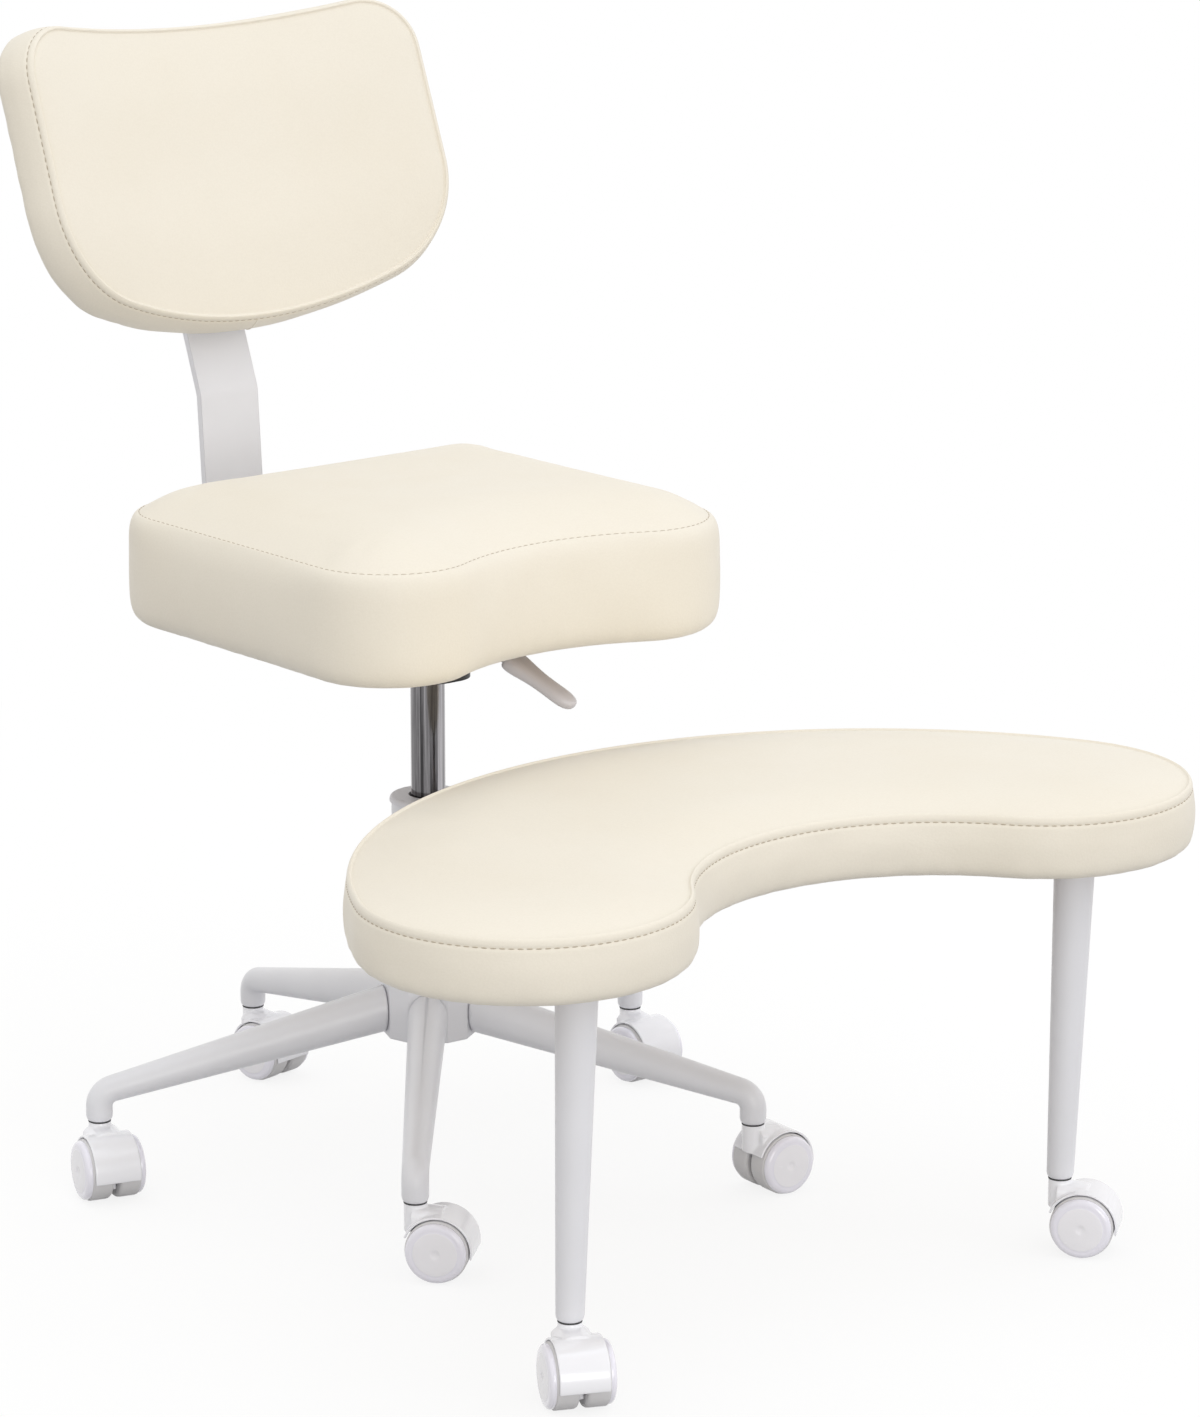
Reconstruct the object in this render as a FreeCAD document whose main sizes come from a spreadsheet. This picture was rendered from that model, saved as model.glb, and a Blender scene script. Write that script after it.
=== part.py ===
import FreeCAD, Part
import math
import os
import Sketcher

# Cross-legged office chair: a padded seat and backrest on a gas lift, a five-legged base on casters,
# and a kidney-shaped footrest that orbits the column on two legs of its own.
# Millimetres. The origin is on the floor at the column axis, +Z is up and the sitter faces -Y.

SIZES = {
    # casters
    "wheel_diameter": 50.0,
    "wheel_face_diameter": 44.0,
    "tread_width": 16.0,
    "tread_round": 2.5,
    "dome_height": 7.0,
    "dimple_diameter": 8.0,
    "dimple_depth": 0.8,
    "web_thickness": 4.0,
    "wheel_side_gap": 0.6,
    "axle_diameter": 6.0,
    "axle_cover": 4.0,
    "running_gap": 0.05,
    "caster_trail": 20.0,
    "hood_gap": 1.0,
    "hood_wall": 1.8,
    "hood_width": 38.0,
    "hood_floor_gap": 10.0,
    "hood_mouth": 10.0,
    "neck_diameter": 18.0,
    "neck_gap": 0.8,
    "stem_diameter": 11.0,
    "stem_reach": 20.0,
    "stem_root": 12.0,
    "neck_rise": 3.2,
    # five-legged base
    "stem_circle_radius": 277.0,
    "first_leg_angle": -130.0,
    "leg_root_width": 32.0,
    "leg_root_height": 39.0,
    "leg_root_level": 131.0,
    "leg_tip_rise": 26.0,
    "leg_tip_diameter": 21.5,
    "leg_wall": 2.5,
    "leg_end_plate": 9.0,
    "elbow_radius": 14.0,
    "tenon_diameter": 18.0,
    "tenon_length": 9.0,
    "hub_face_radius": 38.5,
    "leg_gap": 1.2,
    "hub_bottom": 109.0,
    "hub_top": 160.0,
    "hub_lip": 3.0,
    # column and gas lift
    "stand_diameter": 50.0,
    "stand_wall": 2.0,
    "stand_top": 298.0,
    "stand_floor": 4.0,
    "bush_length": 70.0,
    "bush_flange": 2.0,
    "lift_diameter": 28.0,
    "lift_wall": 2.0,
    "lift_bottom": 205.0,
    "lift_plug": 8.0,
    "finger_gap": 0.4,
    "rod_diameter": 10.0,
    "piston_height": 10.0,
    "piston_gap": 3.0,
    "bearing_diameter": 26.0,
    "bearing_height": 6.0,
    "collar_diameter": 18.0,
    "collar_height": 4.0,
    "seat_clearance": 0.3,
    "clip_height": 2.0,
    "rod_tail": 4.0,
    "button_diameter": 8.0,
    "button_proud": 4.6,
    "button_length": 14.0,
    # seat mechanism and lever
    "seat_level": 451.0,
    "pan_depth": 42.0,
    "pan_sheet": 3.0,
    "pan_width": 54.0,
    "pan_front": 36.0,
    "pan_rear": 62.0,
    "pan_corner": 22.0,
    "flange_width": 150.0,
    "flange_front": 80.0,
    "flange_rear": 70.0,
    "socket_wall": 6.0,
    "seat_bolt_span": 120.0,
    "seat_bolt_pitch": 120.0,
    "lever_heading": -67.0,
    "lever_pivot": 24.0,
    "lever_drop": 7.0,
    "lever_rod_diameter": 8.0,
    "lever_finger": 5.0,
    "lever_dip": 13.0,
    "lever_knee": 78.0,
    "lever_droop": 29.0,
    "lever_bite": 22.0,
    "lever_grip": 11.0,
    "paddle_length": 62.0,
    "paddle_width": 19.0,
    "paddle_thickness": 10.0,
    "lever_pin_diameter": 6.0,
    "lever_lug_gap": 18.0,
    "lever_lug": 3.0,
    "lever_slot": 15.0,
    # fasteners
    "bolt_diameter": 6.0,
    "bolt_head_diameter": 12.0,
    "bolt_head": 4.0,
    "bolt_bite": 9.0,
    "hole_gap": 0.2,
    # seat cushion, given at its top seam
    "seat_half_width": 191.0,
    "seat_front": -179.0,
    "seat_rear": 179.0,
    "seat_corner": 71.0,
    "seat_rear_corner": 60.0,
    "seat_notch": 28.5,
    "seat_side": 95.0,
    "seat_crown": 19.0,
    "seat_bulge": 4.0,
    "seat_tuck": 12.0,
    "board_thickness": 12.0,
    "board_margin": 14.0,
    "pad_gap": 0.3,
    # bar that carries the backrest
    "bar_width": 58.0,
    "bar_thickness": 6.0,
    "bar_gap": 4.0,
    "bar_rear": 261.5,
    "bar_lean": 4.0,
    "bar_bend": 22.0,
    "bar_up_length": 160.0,
    "bar_bolt_pitch": 40.0,
    "bar_bolt_span": 34.0,
    "bar_bolt_inset": 15.0,
    # backrest, given at its front seam in its own tilted plane
    "back_tilt": 20.5,
    "back_offset": 280.8,
    "back_level": 632.0,
    "back_bottom": 15.0,
    "back_horn_top": 268.0,
    "back_horn_spread": 151.0,
    "back_horn": 47.0,
    "back_dip": 5.6,
    "back_cheek": 90.0,
    "back_cheek_spread": 109.0,
    "back_cheek_level": 122.0,
    "back_depth": 54.0,
    "back_crown": 7.0,
    "back_bulge": 4.0,
    "back_tuck": 5.0,
    "back_panel": 3.0,
    "back_board": 10.0,
    "back_bend": 550.0,
    "back_swell": 16.0,
    "back_boss": 15.0,
    "boss_width": 80.0,
    "boss_height": 95.0,
    "boss_inset": 20.0,
    "boss_corner": 14.0,
    "back_screw_inset": 15.0,
    "back_screw_pitch": 50.0,
    # footrest that orbits the column
    "foot_level": 322.0,
    "foot_lobe": 122.0,
    "foot_lobe_spread": 252.0,
    "foot_lobe_y": -441.0,
    "foot_rear": -162.0,
    "foot_bay": -434.0,
    "foot_side": 50.0,
    "foot_crown": 10.0,
    "foot_bulge": 3.5,
    "foot_tuck": 9.0,
    "foot_leg_x": 246.5,
    "foot_leg_y": -485.5,
    "foot_leg_top_diameter": 32.5,
    "foot_leg_tip_diameter": 21.0,
    "foot_leg_lean": 1.8,
    "foot_leg_cap": 14.0,
    "foot_leg_socket": 30.0,
    # sleeve and link that hold the footrest to the column
    "sleeve_bush_wall": 2.0,
    "sleeve_wall": 3.0,
    "sleeve_base_gap": 0.3,
    "sleeve_flange": 4.0,
    "cap_rise": 9.0,
    "cap_overhang": 1.5,
    "cap_height": 5.0,
    "cap_hole_gap": 2.0,
    "cap_skirt": 26.0,
    "link_width": 40.0,
    "link_height": 18.0,
    "link_drop": 3.0,
    "link_wall": 2.0,
    "link_plate": 3.0,
    "plate_width": 130.0,
    "plate_length": 136.0,
    "plate_inset": 32.0,
    "plate_bolt_span": 100.0,
    "plate_bolt_pitch": 100.0,
}

LEG_COUNT = 5
FULL_TURN = 360.0

# Resting headings of the casters: where each wheel trails, seen from above.
BASE_CASTER_HEADINGS = (-49.0, -4.0, -92.0, -79.0, -106.0)
FOOT_CASTER_HEADINGS = {"left": -115.0, "right": -52.0}

# Side of a pad from its bottom edge to its seam: share of its height, then of its tuck and of its bulge.
PAD_SIDE = ((0.0, 1.0, 0.0), (0.07, 0.35, 0.65), (0.25, 0.0, 0.9), (0.55, 0.0, 1.0), (0.85, 0.0, 0.5),
            (1.0, 0.0, 0.0))
# Top of a pad from its seam inwards: share of the crown's height, then share of its reach.
PAD_CROWN = ((0.0, 0.0), (0.5, 0.22), (0.82, 0.55), (1.0, 1.0))
# Reach of the crown's slope as a share of the tightest corner that it goes round.
CORNER_REACH = 0.85
LOBE_REACH = 0.6
# Slices that shape the bent backrest, as shares of its half width.
BACK_SLICES = (0.0, 0.3, 0.55, 0.72, 0.84, 0.92, 0.965, 0.99)
# Depth of the rear cover's boss into its shell, as a share of the shell.
BOSS_SINK = 0.8
# Softened corners, as shares of the thickness or height that they round.
PADDLE_ROUND = 0.3
PADDLE_TIP = 0.6
CAP_ROUND = 0.7
DOME_ROUND = 0.4
DOME_FLAT = 0.8
# A slot's share below the axis that it clears, and how far a cutter runs past what it cuts.
SLOT_BELOW = 0.8
OVERRUN = 1.05
NEAR = 0.01
# How far from the middle line a bend's edges are looked for, as a share of half the strip's thickness.
BEND_SEARCH = 1.6

doc = FreeCAD.newDocument("cross_legged_chair")
sheet = doc.addObject("Spreadsheet::Sheet", "sizes")
for row, (alias, size) in enumerate(SIZES.items(), start=1):
    sheet.set(f"A{row}", alias.replace("_", " "))
    sheet.set(f"B{row}", str(size))
    sheet.setAlias(f"B{row}", alias)
doc.recompute()

nodes = []


class Length:
    """A size that knows its number and its formula on the sheet."""

    def __init__(self, value, formula):
        self.value = value
        self.formula = formula

    def __add__(self, other):
        return Length(self.value + number(other), f"({self.formula} + {formula(other)})")

    def __radd__(self, other):
        return Length(number(other) + self.value, f"({formula(other)} + {self.formula})")

    def __sub__(self, other):
        return Length(self.value - number(other), f"({self.formula} - {formula(other)})")

    def __rsub__(self, other):
        return Length(number(other) - self.value, f"({formula(other)} - {self.formula})")

    def __mul__(self, other):
        return Length(self.value * number(other), f"({self.formula} * {formula(other)})")

    __rmul__ = __mul__

    def __truediv__(self, other):
        return Length(self.value / number(other), f"({self.formula} / {formula(other)})")

    def __neg__(self):
        return Length(-self.value, f"(-1 * {self.formula})")


def number(size):
    return size.value if isinstance(size, Length) else float(size)


def formula(size):
    return size.formula if isinstance(size, Length) else repr(float(size))


def cosine(angle):
    return Length(math.cos(math.radians(number(angle))), f"cos({formula(angle)})")


def sine(angle):
    return Length(math.sin(math.radians(number(angle))), f"sin({formula(angle)})")


def tangent(angle):
    return Length(math.tan(math.radians(number(angle))), f"tan({formula(angle)})")


class Sizes:
    """The sheet's cells by name."""

    def __getattr__(self, name):
        return Length(float(sheet.get(name)), f"sizes.{name}")


s = Sizes()

# Sizes that follow from others
wheel_radius = s.wheel_diameter / 2
socket_height = s.wheel_diameter + s.hood_gap + s.hood_wall + s.neck_rise
stem_bore = s.stem_diameter + s.running_gap * 2
stem_bore_depth = s.stem_reach + s.seat_clearance
leg_tip_level = socket_height + s.leg_tip_rise
bolt_hole = s.bolt_diameter + s.hole_gap * 2
sleeve_bore = s.stand_diameter + s.sleeve_bush_wall * 2
sleeve_diameter = sleeve_bore + s.sleeve_wall * 2
cap_diameter = sleeve_diameter + s.cap_overhang * 2
cap_hole = s.lift_diameter + s.cap_hole_gap * 2
cap_top = s.stand_top + s.bush_flange + s.cap_rise
piston_level = s.lift_bottom + s.lift_plug + s.piston_gap
pan_bottom = s.seat_level - s.pan_depth
lever_level = s.seat_level - s.pan_sheet - s.lever_drop
lift_top = lever_level - s.lever_rod_diameter / 2 - s.finger_gap - s.button_proud
bar_front = s.flange_rear + s.bar_gap
link_reach = s.plate_inset + s.plate_length - s.foot_rear


def vector(x, y, z):
    return FreeCAD.Vector(number(x), number(y), number(z))


def bind(thing, **sizes):
    for name, size in sizes.items():
        thing.setExpression(name, formula(size))


def put(thing, x=0, y=0, z=0):
    """Place a thing at a point whose coordinates follow the sheet."""
    for axis, size in zip("xyz", (x, y, z)):
        thing.setExpression(f"Placement.Base.{axis}", formula(size))
    return thing


def turn(thing, axis, angle):
    thing.Placement.Rotation = FreeCAD.Rotation(FreeCAD.Vector(*axis), number(angle))
    return thing


ALONG_X = ((0, 1, 0), 90.0)
ALONG_Y = ((1, 0, 0), -90.0)


def cylinder(name, diameter, height, x=0, y=0, z=0, lie=None):
    bar = doc.addObject("Part::Cylinder", name)
    if lie:
        turn(bar, *lie)
    bind(bar, Radius=diameter / 2, Height=height)
    return put(bar, x, y, z)


def cone(name, low_diameter, high_diameter, height, x=0, y=0, z=0):
    bar = doc.addObject("Part::Cone", name)
    bind(bar, Radius1=low_diameter / 2, Radius2=high_diameter / 2, Height=height)
    return put(bar, x, y, z)


def box(name, x_size, y_size, z_size, x=0, y=0, z=0):
    block = doc.addObject("Part::Box", name)
    bind(block, Length=x_size, Width=y_size, Height=z_size)
    return put(block, x, y, z)


def cut(name, base, tools):
    """Take every tool away from the base."""
    result = base
    for index, tool in enumerate(tools):
        step = doc.addObject("Part::Cut", f"{name}_cut_{index}")
        step.Base = result
        step.Tool = tool
        result = step
    return result


def fuse(name, shapes):
    joined = doc.addObject("Part::MultiFuse", f"{name}_joined")
    joined.Shapes = shapes
    joined.Refine = True
    return joined


def group(name, shapes):
    """Separate solids that share one node."""
    held = doc.addObject("Part::Compound", f"{name}_group")
    held.Links = shapes
    return held


def shaped(name, shape):
    """A piece whose form comes from curves that no primitive has."""
    piece = doc.addObject("Part::Feature", f"{name}_form")
    piece.Shape = shape
    return piece


def node(label, thing):
    """Name a finished sub-part; the label names its file."""
    thing.Label = label
    nodes.append(thing)
    return thing


def origin_plane(body, role):
    return next(plane for plane in body.Origin.OriginFeatures if plane.Role == role)


def sketch_on(body, name, role):
    drawing = body.newObject("Sketcher::SketchObject", name)
    drawing.AttachmentSupport = (origin_plane(body, role), "")
    drawing.MapMode = "FlatFace"
    return drawing


def draw_polygon(drawing, corners):
    """Closed straight-sided outline whose corners follow the sheet."""
    points = [vector(x, y, 0) for x, y in corners]
    count = len(points)
    for index, point in enumerate(points):
        drawing.addGeometry(Part.LineSegment(point, points[(index + 1) % count]))
    for index in range(count):
        drawing.addConstraint(Sketcher.Constraint("Coincident", index, 2, (index + 1) % count, 1))
    for index, corner in enumerate(corners):
        for kind, size, axis in (("DistanceX", corner[0], -2), ("DistanceY", corner[1], -1)):
            if isinstance(size, Length):
                rule = Sketcher.Constraint(kind, -1, 1, index, 1, number(size))
                drawing.setExpression(f"Constraints[{drawing.addConstraint(rule)}]", formula(size))
            else:
                drawing.addConstraint(Sketcher.Constraint("PointOnObject", index, 1, axis))


def raise_sketch(drawing, level):
    drawing.setExpression("AttachmentOffset.Base.z", formula(level))


def pad(body, name, drawing, length, both_ways=False):
    block = body.newObject("PartDesign::Pad", name)
    block.Profile = drawing
    block.Midplane = both_ways
    bind(block, Length=length)
    return block


def round_edges(body, name, feature, radius, wanted):
    """Round the edges of a feature that the test picks by where they lie."""
    doc.recompute()
    picked = [f"Edge{index}" for index, edge in enumerate(feature.Shape.Edges, start=1) if wanted(edge)]
    softened = body.newObject("PartDesign::Fillet", name)
    softened.Base = (feature, picked)
    bind(softened, Radius=radius)
    return softened


# Outlines of arcs and lines

def arc(centre, radius, start, end):
    """Arc from one angle to another in degrees; it runs clockwise where the end is smaller."""
    points = []
    for angle in (start, (start + end) / 2, end):
        way = math.radians(angle)
        points.append(FreeCAD.Vector(centre[0] + radius * math.cos(way),
                                     centre[1] + radius * math.sin(way), 0))
    return Part.Arc(*points).toShape()


def closed(arcs):
    """Join arcs in order, with a straight line wherever one ends short of the next."""
    edges = []
    for index, edge in enumerate(arcs):
        edges.append(edge)
        start = edge.lastVertex(True).Point
        end = arcs[(index + 1) % len(arcs)].firstVertex(True).Point
        if start.distanceToPoint(end) > 1e-6:
            edges.append(Part.makeLine(start, end))
    return Part.Wire(edges)


def hollow_radius(spread, drop, corner):
    """Radius of the arc that dips by drop between two corner circles and is tangent to both."""
    depth = corner - drop
    return (spread ** 2 + depth ** 2 - corner ** 2) / (2 * drop)


def way_to(start, end):
    return math.degrees(math.atan2(end[1] - start[1], end[0] - start[0]))


def seat_outline(inset):
    """Rounded square with a shallow hollow in its front edge."""
    corner = number(s.seat_corner)
    rear = number(s.seat_rear_corner)
    spread = number(s.seat_half_width) - corner
    rear_spread = number(s.seat_half_width) - rear
    rear_y = number(s.seat_rear) - rear
    front_y = number(s.seat_front) + corner
    notch = number(s.seat_notch)
    hollow = hollow_radius(spread, notch, corner)
    hollow_centre = (0.0, number(s.seat_front) + notch - hollow)
    lean = way_to((-spread, front_y), hollow_centre)
    return closed([
        arc((rear_spread, rear_y), rear - inset, 0, 90),
        arc((-rear_spread, rear_y), rear - inset, 90, 180),
        arc((-spread, front_y), corner - inset, 180, FULL_TURN + lean),
        arc(hollow_centre, hollow + inset, lean + 180, -lean),
        arc((spread, front_y), corner - inset, 180 - lean, FULL_TURN),
    ])


def foot_outline(inset):
    """Kidney: two round lobes, a bulging edge towards the chair and a bay on the far side."""
    lobe = number(s.foot_lobe)
    spread = number(s.foot_lobe_spread)
    lobe_y = number(s.foot_lobe_y)
    rear_reach = number(s.foot_rear) - lobe_y
    rear = (rear_reach ** 2 + spread ** 2 - lobe ** 2) / (2 * (rear_reach - lobe))
    rear_centre = (0.0, number(s.foot_rear) - rear)
    bay = hollow_radius(spread, number(s.foot_bay) - lobe_y + lobe, lobe)
    bay_centre = (0.0, number(s.foot_bay) - bay)
    rear_way = way_to(rear_centre, (spread, lobe_y))
    bay_way = way_to((-spread, lobe_y), bay_centre)
    side = 270.0
    return closed([
        arc(rear_centre, rear - inset, rear_way, 180 - rear_way),
        arc((-spread, lobe_y), lobe - inset, 180 - rear_way, side),
        arc((-spread, lobe_y), lobe - inset, side, FULL_TURN + bay_way),
        arc(bay_centre, bay + inset, 180 + bay_way, -bay_way),
        arc((spread, lobe_y), lobe - inset, 180 - bay_way, side),
        arc((spread, lobe_y), lobe - inset, side, FULL_TURN + rear_way),
    ])


def back_outline(inset):
    """Horned top with a dip, sides that widen downwards and a full round bottom."""
    horn = number(s.back_horn)
    horn_centre = (number(s.back_horn_spread), number(s.back_horn_top) - horn)
    cheek = number(s.back_cheek)
    cheek_centre = (number(s.back_cheek_spread), number(s.back_cheek_level))
    dip = hollow_radius(horn_centre[0], number(s.back_dip), horn)
    dip_centre = (0.0, number(s.back_horn_top) - number(s.back_dip) + dip)
    dip_way = way_to(horn_centre, dip_centre)
    drop = cheek_centre[1] - number(s.back_bottom)
    belly = (cheek_centre[0] ** 2 + drop ** 2 - cheek ** 2) / (2 * (drop - cheek))
    belly_centre = (0.0, number(s.back_bottom) + belly)
    belly_way = way_to(belly_centre, cheek_centre)
    gap = math.dist(horn_centre, cheek_centre)
    side_way = way_to(cheek_centre, horn_centre) - math.degrees(math.acos((cheek - horn) / gap))
    left_horn = (-horn_centre[0], horn_centre[1])
    left_cheek = (-cheek_centre[0], cheek_centre[1])
    return closed([
        arc(horn_centre, horn - inset, side_way, dip_way),
        arc(dip_centre, dip + inset, dip_way - 180, -dip_way),
        arc(left_horn, horn - inset, 180 - dip_way, 180 - side_way),
        arc(left_cheek, cheek - inset, 180 - side_way, 180 - belly_way),
        arc(belly_centre, belly - inset, 180 - belly_way, FULL_TURN + belly_way),
        arc(cheek_centre, cheek - inset, belly_way, side_way),
    ])


def at_level(wire, level):
    return wire.translated(FreeCAD.Vector(0, 0, level))


def pad_form(outline, low, side, crown, bulge, tuck, crown_reach):
    """Stuffed pad: sides drawn in at both edges and full between them, and a crowned top over the seam."""
    side_loft = [at_level(outline(drawn * tuck - swell * bulge), low + share * side)
                 for share, drawn, swell in PAD_SIDE]
    top_loft = [at_level(outline(reach * crown_reach), low + side + share * crown)
                for share, reach in PAD_CROWN]
    return Part.makeLoft(side_loft, True, False).fuse(Part.makeLoft(top_loft, True, False))


def slab(outline, inset, low, thickness):
    return Part.Face(at_level(outline(inset), low)).extrude(FreeCAD.Vector(0, 0, thickness))


def drilled(shape, places, diameter, low, depth):
    """The shape with upright round holes at the places."""
    for x, y in places:
        tool = Part.makeCylinder(diameter / 2, depth, FreeCAD.Vector(x, y, low))
        shape = shape.cut(tool)
    return shape


# Base

def leg_angle(index):
    return s.first_leg_angle + FULL_TURN / LEG_COUNT * index


def leg_slope():
    """Fall of a leg's axis, in degrees."""
    run = number(s.stem_circle_radius) - number(s.hub_face_radius)
    return math.degrees(math.atan2(number(s.leg_root_level) - number(leg_tip_level), run))


def base_hub():
    body = doc.addObject("PartDesign::Body", "hub_body")
    drawing = sketch_on(body, "hub_sides", "XY_Plane")
    corners = []
    for index in range(LEG_COUNT):
        angle = leg_angle(index)
        for side in (-1, 1):
            across = s.leg_root_width / 2 * side
            corners.append((s.hub_face_radius * cosine(angle) - across * sine(angle),
                            s.hub_face_radius * sine(angle) + across * cosine(angle)))
    draw_polygon(drawing, corners)
    raise_sketch(drawing, s.hub_bottom)
    block = pad(body, "hub_block", drawing, s.hub_top - s.hub_bottom)
    rim = s.hub_lip / 2
    round_edges(body, "hub_edges", block, rim,
                lambda edge: abs(edge.Vertexes[0].Z - edge.Vertexes[-1].Z) < NEAR)
    bore = cylinder("hub_bore", s.stand_diameter, s.hub_top, z=s.hub_bottom - s.hub_lip)
    sockets = []
    for index in range(LEG_COUNT):
        angle = leg_angle(index)
        start = s.hub_face_radius - s.tenon_length - s.hole_gap
        socket = cylinder(f"hub_socket_{index}", s.tenon_diameter + s.hole_gap * 2, s.tenon_length * 2)
        turn(socket, *ALONG_X)
        way = FreeCAD.Rotation(FreeCAD.Vector(0, 0, 1), number(angle))
        socket.Placement.Rotation = way.multiply(socket.Placement.Rotation)
        put(socket, start * cosine(angle), start * sine(angle), s.leg_root_level)
        sockets.append(socket)
    node("base_hub", cut("hub", body, [bore, fuse("hub_sockets", sockets)]))


def leg_form():
    """One leg along +X: oval root, taper, elbow and an upright socket for the caster stem."""
    slope = math.radians(leg_slope())
    root = number(s.hub_face_radius) + number(s.leg_gap)
    root_z = number(s.leg_root_level)
    tip_r = number(s.leg_tip_diameter) / 2
    bend = number(s.elbow_radius)
    stem_r = number(s.stem_circle_radius)
    turn_angle = math.pi / 2 - slope
    setback = bend * math.tan(turn_angle / 2)
    corner_z = number(leg_tip_level)
    along = FreeCAD.Vector(math.cos(slope), 0, -math.sin(slope))
    elbow_start = FreeCAD.Vector(stem_r, 0, corner_z) - along * setback

    def oval(at, half_width, half_height, normal):
        curve = Part.Ellipse()
        if half_height >= half_width:
            curve.MajorRadius = half_height
            curve.MinorRadius = half_width
        else:
            curve.MajorRadius = half_width
            curve.MinorRadius = half_height
        edge = curve.toShape()
        upright = FreeCAD.Vector(0, 0, 1) - normal * normal.z
        frame = FreeCAD.Rotation(upright, FreeCAD.Vector(), normal, "ZXY")
        edge.Placement = FreeCAD.Placement(at, frame)
        return Part.Wire(edge)

    square = FreeCAD.Vector(1, 0, 0)
    root_at = FreeCAD.Vector(root, 0, root_z)
    outer = Part.makeLoft([
        oval(root_at, number(s.leg_root_width) / 2, number(s.leg_root_height) / 2, square),
        oval(elbow_start, tip_r, tip_r, along),
    ], True, True)
    wall = number(s.leg_wall)
    plate = number(s.leg_end_plate)
    share = plate / (elbow_start.x - root)
    inner_width = number(s.leg_root_width) / 2 * (1 - share) + tip_r * share - wall
    inner_height = number(s.leg_root_height) / 2 * (1 - share) + tip_r * share - wall
    cavity = Part.makeLoft([
        oval(root_at + (elbow_start - root_at) * share, inner_width, inner_height, square),
        oval(elbow_start - along * plate, tip_r - wall, tip_r - wall, along),
    ], True, True)
    elbow_axis = elbow_start - FreeCAD.Vector(math.sin(slope), 0, math.cos(slope)) * bend
    elbow_face = Part.Face(oval(elbow_start, tip_r, tip_r, along))
    elbow = elbow_face.revolve(elbow_axis, FreeCAD.Vector(0, 1, 0), math.degrees(turn_angle))
    foot = number(socket_height)
    post = Part.makeCylinder(tip_r, corner_z - setback - foot, FreeCAD.Vector(stem_r, 0, foot))
    tenon = Part.makeCylinder(number(s.tenon_diameter) / 2, number(s.tenon_length),
                              FreeCAD.Vector(root - number(s.tenon_length), 0, root_z), square)
    shape = outer.fuse([elbow, post, tenon]).cut(cavity)
    bore = Part.makeCylinder(number(stem_bore) / 2, number(stem_bore_depth), FreeCAD.Vector(stem_r, 0, foot))
    return shape.cut(bore).removeSplitter()


def base_legs():
    shape = leg_form()
    for index in range(LEG_COUNT):
        leg = shaped(f"leg_{index + 1}", shape)
        turn(leg, (0, 0, 1), leg_angle(index))
        node(f"base_leg_{index + 1}", leg)


# Column and gas lift

def column():
    bore = s.stand_diameter - s.stand_wall * 2
    outside = cylinder("stand_outside", s.stand_diameter, s.stand_top - s.hub_bottom, z=s.hub_bottom)
    inside = cylinder("stand_inside", bore, s.stand_top, z=s.hub_bottom + s.stand_floor)
    tail_hole = cylinder("stand_tail_hole", s.rod_diameter + s.running_gap * 2, s.stand_floor * 3,
                         z=s.hub_bottom - s.stand_floor)
    node("stand_tube", cut("stand", outside, [inside, tail_hole]))

    sleeve = cylinder("bush_sleeve", bore, s.bush_length, z=s.stand_top - s.bush_length)
    flange = cylinder("bush_top", s.stand_diameter, s.bush_flange, z=s.stand_top)
    slide = cylinder("bush_bore", s.lift_diameter + s.running_gap * 2, s.stand_top, z=s.hub_bottom)
    node("guide_bush", cut("bush", fuse("bush", [sleeve, flange]), [slide]))

    floor = s.hub_bottom + s.stand_floor
    ring = cylinder("bearing_ring", s.bearing_diameter, s.bearing_height, z=floor)
    ring_hole = cylinder("bearing_hole", s.rod_diameter + s.running_gap * 2, s.stand_top, z=s.hub_bottom)
    node("thrust_bearing", cut("bearing", ring, [ring_hole]))

    tail = s.hub_bottom - s.seat_clearance - s.clip_height - s.rod_tail
    rod = cylinder("rod_shaft", s.rod_diameter, piston_level - tail, z=tail)
    collar = cylinder("rod_collar", s.collar_diameter, s.collar_height,
                      z=floor + s.bearing_height + s.seat_clearance)
    clip = cylinder("rod_clip", s.collar_diameter, s.clip_height,
                    z=s.hub_bottom - s.seat_clearance - s.clip_height)
    piston = cylinder("rod_piston", s.lift_diameter - s.lift_wall * 2 - s.running_gap * 2, s.piston_height,
                      z=piston_level)
    node("piston_rod", fuse("rod", [rod, collar, clip, piston]))

    tube = cylinder("lift_tube", s.lift_diameter, lift_top - s.lift_bottom, z=s.lift_bottom)
    hollow = cylinder("lift_hollow", s.lift_diameter - s.lift_wall * 2,
                      lift_top - s.lift_bottom - s.lift_plug * 2 - s.button_length,
                      z=s.lift_bottom + s.lift_plug)
    rod_hole = cylinder("lift_rod_hole", s.rod_diameter + s.running_gap * 2, s.lift_plug * 2,
                        z=s.lift_bottom - s.lift_plug / 2)
    valve_hole = cylinder("lift_valve_hole", s.button_diameter + s.running_gap * 2, s.button_length * 2,
                          z=lift_top - s.button_length)
    node("gas_cylinder", cut("lift", tube, [hollow, rod_hole, valve_hole]))

    press_room = s.button_length - s.button_proud - s.seat_clearance
    node("valve_button", cylinder("button", s.button_diameter, s.button_length - press_room + s.button_proud,
                                  z=lift_top - s.button_length + press_room))


# Seat mechanism and lever

def corner_places(span, pitch, middle):
    """Four places in a rectangle about a middle point on the Y axis."""
    return [(span / 2 * side, middle + pitch / 2 * end) for side in (-1, 1) for end in (-1, 1)]


def seat_bolt_places():
    return corner_places(s.seat_bolt_span, s.seat_bolt_pitch, (s.flange_rear - s.flange_front) / 2)


def bar_bolt_places():
    middle = bar_front + s.bar_bolt_inset + s.bar_bolt_pitch / 2
    return corner_places(s.bar_bolt_span, s.bar_bolt_pitch, middle)


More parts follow.
